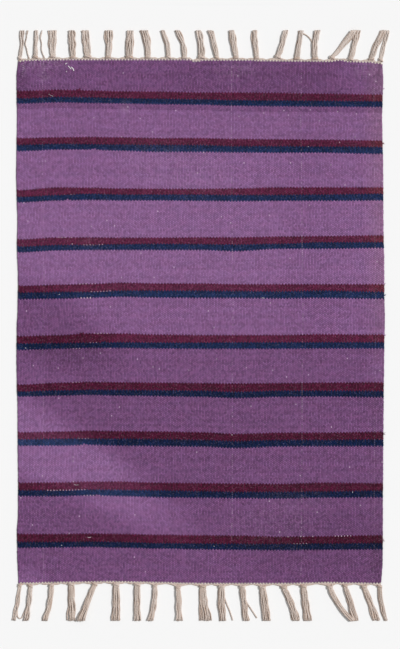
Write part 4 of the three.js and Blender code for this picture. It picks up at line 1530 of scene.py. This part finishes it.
# %% Bare warps
PEEKS = [
    (2, "change", -343, -312, 0.7, 0.7),
    (3, "top", -358, -318, 0.9, 1.2),
    (3, "change", -295, -247, 0.9, 1.0),
    (4, "top", -305, -262, 0.8, 1.2),
    (4, "change", -325, -277, 0.8, 0.7),
    (4, "change", -276, -222, 0.9, 1.2),
    (4, "foot", -302, -274, 1.0, 1.6),
    (5, "top", -267, -229, 1.0, 1.0),
    (5, "change", -279, -257, 1.0, 0.9),
    (5, "foot", -322, -302, 1.0, 1.0),
    (5, "foot", -229, -223, 1.0, 1.1),
    (6, "top", -322, -300, 1.0, 0.9),
    (6, "top", -262, -257, 1.0, 1.0),
    (7, "change", -307, -280, 1.0, 1.0),
    (8, "change", -386, -285, 1.0, 1.2),
    (8, "foot", -302, -240, 0.9, 1.15),
    (9, "top", 219, 295, 0.8, 1.1),
    (9, "top", 338, 382, 0.9, 1.3),
    (9, "change", 234, 274, 0.9, 0.9),
]
PEEK_SIZE = (0.8, 1.35, 0.4)
PEEK_SUNK = 0.25
PEEK_UNEVEN = 0.5
PEEK_SIZES = (0.85, 1.1)
PAST_THE_STAIN = 0.05

bm = bmesh.new()
bmesh.ops.create_icosphere(bm, subdivisions=2, radius=1)
bmesh.ops.scale(bm, verts=bm.verts, vec=PEEK_SIZE)
bead_mesh = finished(bm, "warp_bead")
bead_corners = numbers_of(bead_mesh.vertices, "co", 3)
off_stain = np.tile((0, PAST_THE_STAIN), (len(bead_mesh.loops), 1))

draws = random.Random(8)
bits = []
for pair, line, start, stop, often_bare, size in PEEKS:
    for x in np.arange(start, stop, 2 * WARP_PITCH):
        if draws.random() > often_bare:
            continue
        y = stripe_y(pair, line, x) + draws.uniform(-PEEK_UNEVEN, PEEK_UNEVEN)
        centre = (x, y, THICKNESS + lie(x, y) - PEEK_SUNK)
        places = size * draws.uniform(*PEEK_SIZES) * bead_corners + centre
        bits.append((bead_mesh, places, off_stain, VEILED_TONE))
print(len(bits), "spots of bare warp")

# %% [markdown]
# ## Lint
#
# On top of the cloth lie a few cut ends of white yarn, left over from tying the knots, and
# smaller bits of fluff. Each is a short yarn of clean cotton, laid where it fell, and sunk a
# little into the weave.

# %% Bits of lint
LINT = [
    (2.0, [(-335, 654), (-331.5, 650.5), (-327, 645.5)]),
    (2.4, [(-327, 651), (-323, 647.5), (-320, 641)]),
    (1.6, [(-342, 658), (-339.5, 660), (-337, 661)]),
    (1.6, [(-339.5, 640.5), (-338, 638.5)]),
    (0.5, [(-384, 583), (-378, 580), (-372, 576)]),
    (1.4, [(-442, -56), (-440.5, -57.5)]),
    (1.4, [(-447, 308), (-445.5, 309.5)]),
    (1.1, [(153, 69), (156, 69.5), (159, 69)]),
    (1.4, [(77, -276), (79, -275)]),
    (1.4, [(-254, -69), (-252.5, -70)]),
    (1.7, [(-325, 205), (-323.5, 206)]),
    (1.2, [(-358, 78), (-355.5, 78.5)]),
    (0.6, [(-320, -400), (-315, -402), (-309, -401)]),
    (1.4, [(-352, -553), (-350, -554)]),
    (1.2, [(32, -555.5), (34, -556)]),
    (1.4, [(381.5, -418.5), (382, -421)]),
    (0.8, [(-286, -533), (-281, -534), (-277, -533)]),
    (1.4, [(343, 538), (345, 538)]),
    (1.2, [(348, 462), (350, 461)]),
    (1.2, [(270, 451), (271, 450)]),
]

for thick, along_floor in LINT:
    stops = [(x, y, THICKNESS + lie(x, y) + thick / 3) for x, y in along_floor]
    places, twist = laid_yarn(short_shape, *smooth_route(stops, SHORT_RINGS), thick)
    bits.append((short_shape, places, twist + (0, PAST_THE_STAIN), CLEAN_TONE))
lint = joined("lint_and_bare_warps", bits, "yarn", "tone")
lint.data.materials.append(cotton)

# %% [markdown]
# ## The pieces of the rug
#
# Each piece hangs from the rug's one body, and the part of the plain model that it stands for
# is hidden. The selvedge turns and the lint stand for no part of it. Nothing in the cloth is
# folded.

# %% Hanging the pieces from the body
for thing, node, slot in (
    (cloth, "cloth", "woven_wool"),
    (fringe_top, "fringe_top", "cotton_warp"),
    (fringe_bottom, "fringe_bottom", "cotton_warp"),
    (selvedges, None, "woven_wool"),
    (lint, None, "cotton_warp"),
):
    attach(thing, BODY)
    if node:
        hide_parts(node)
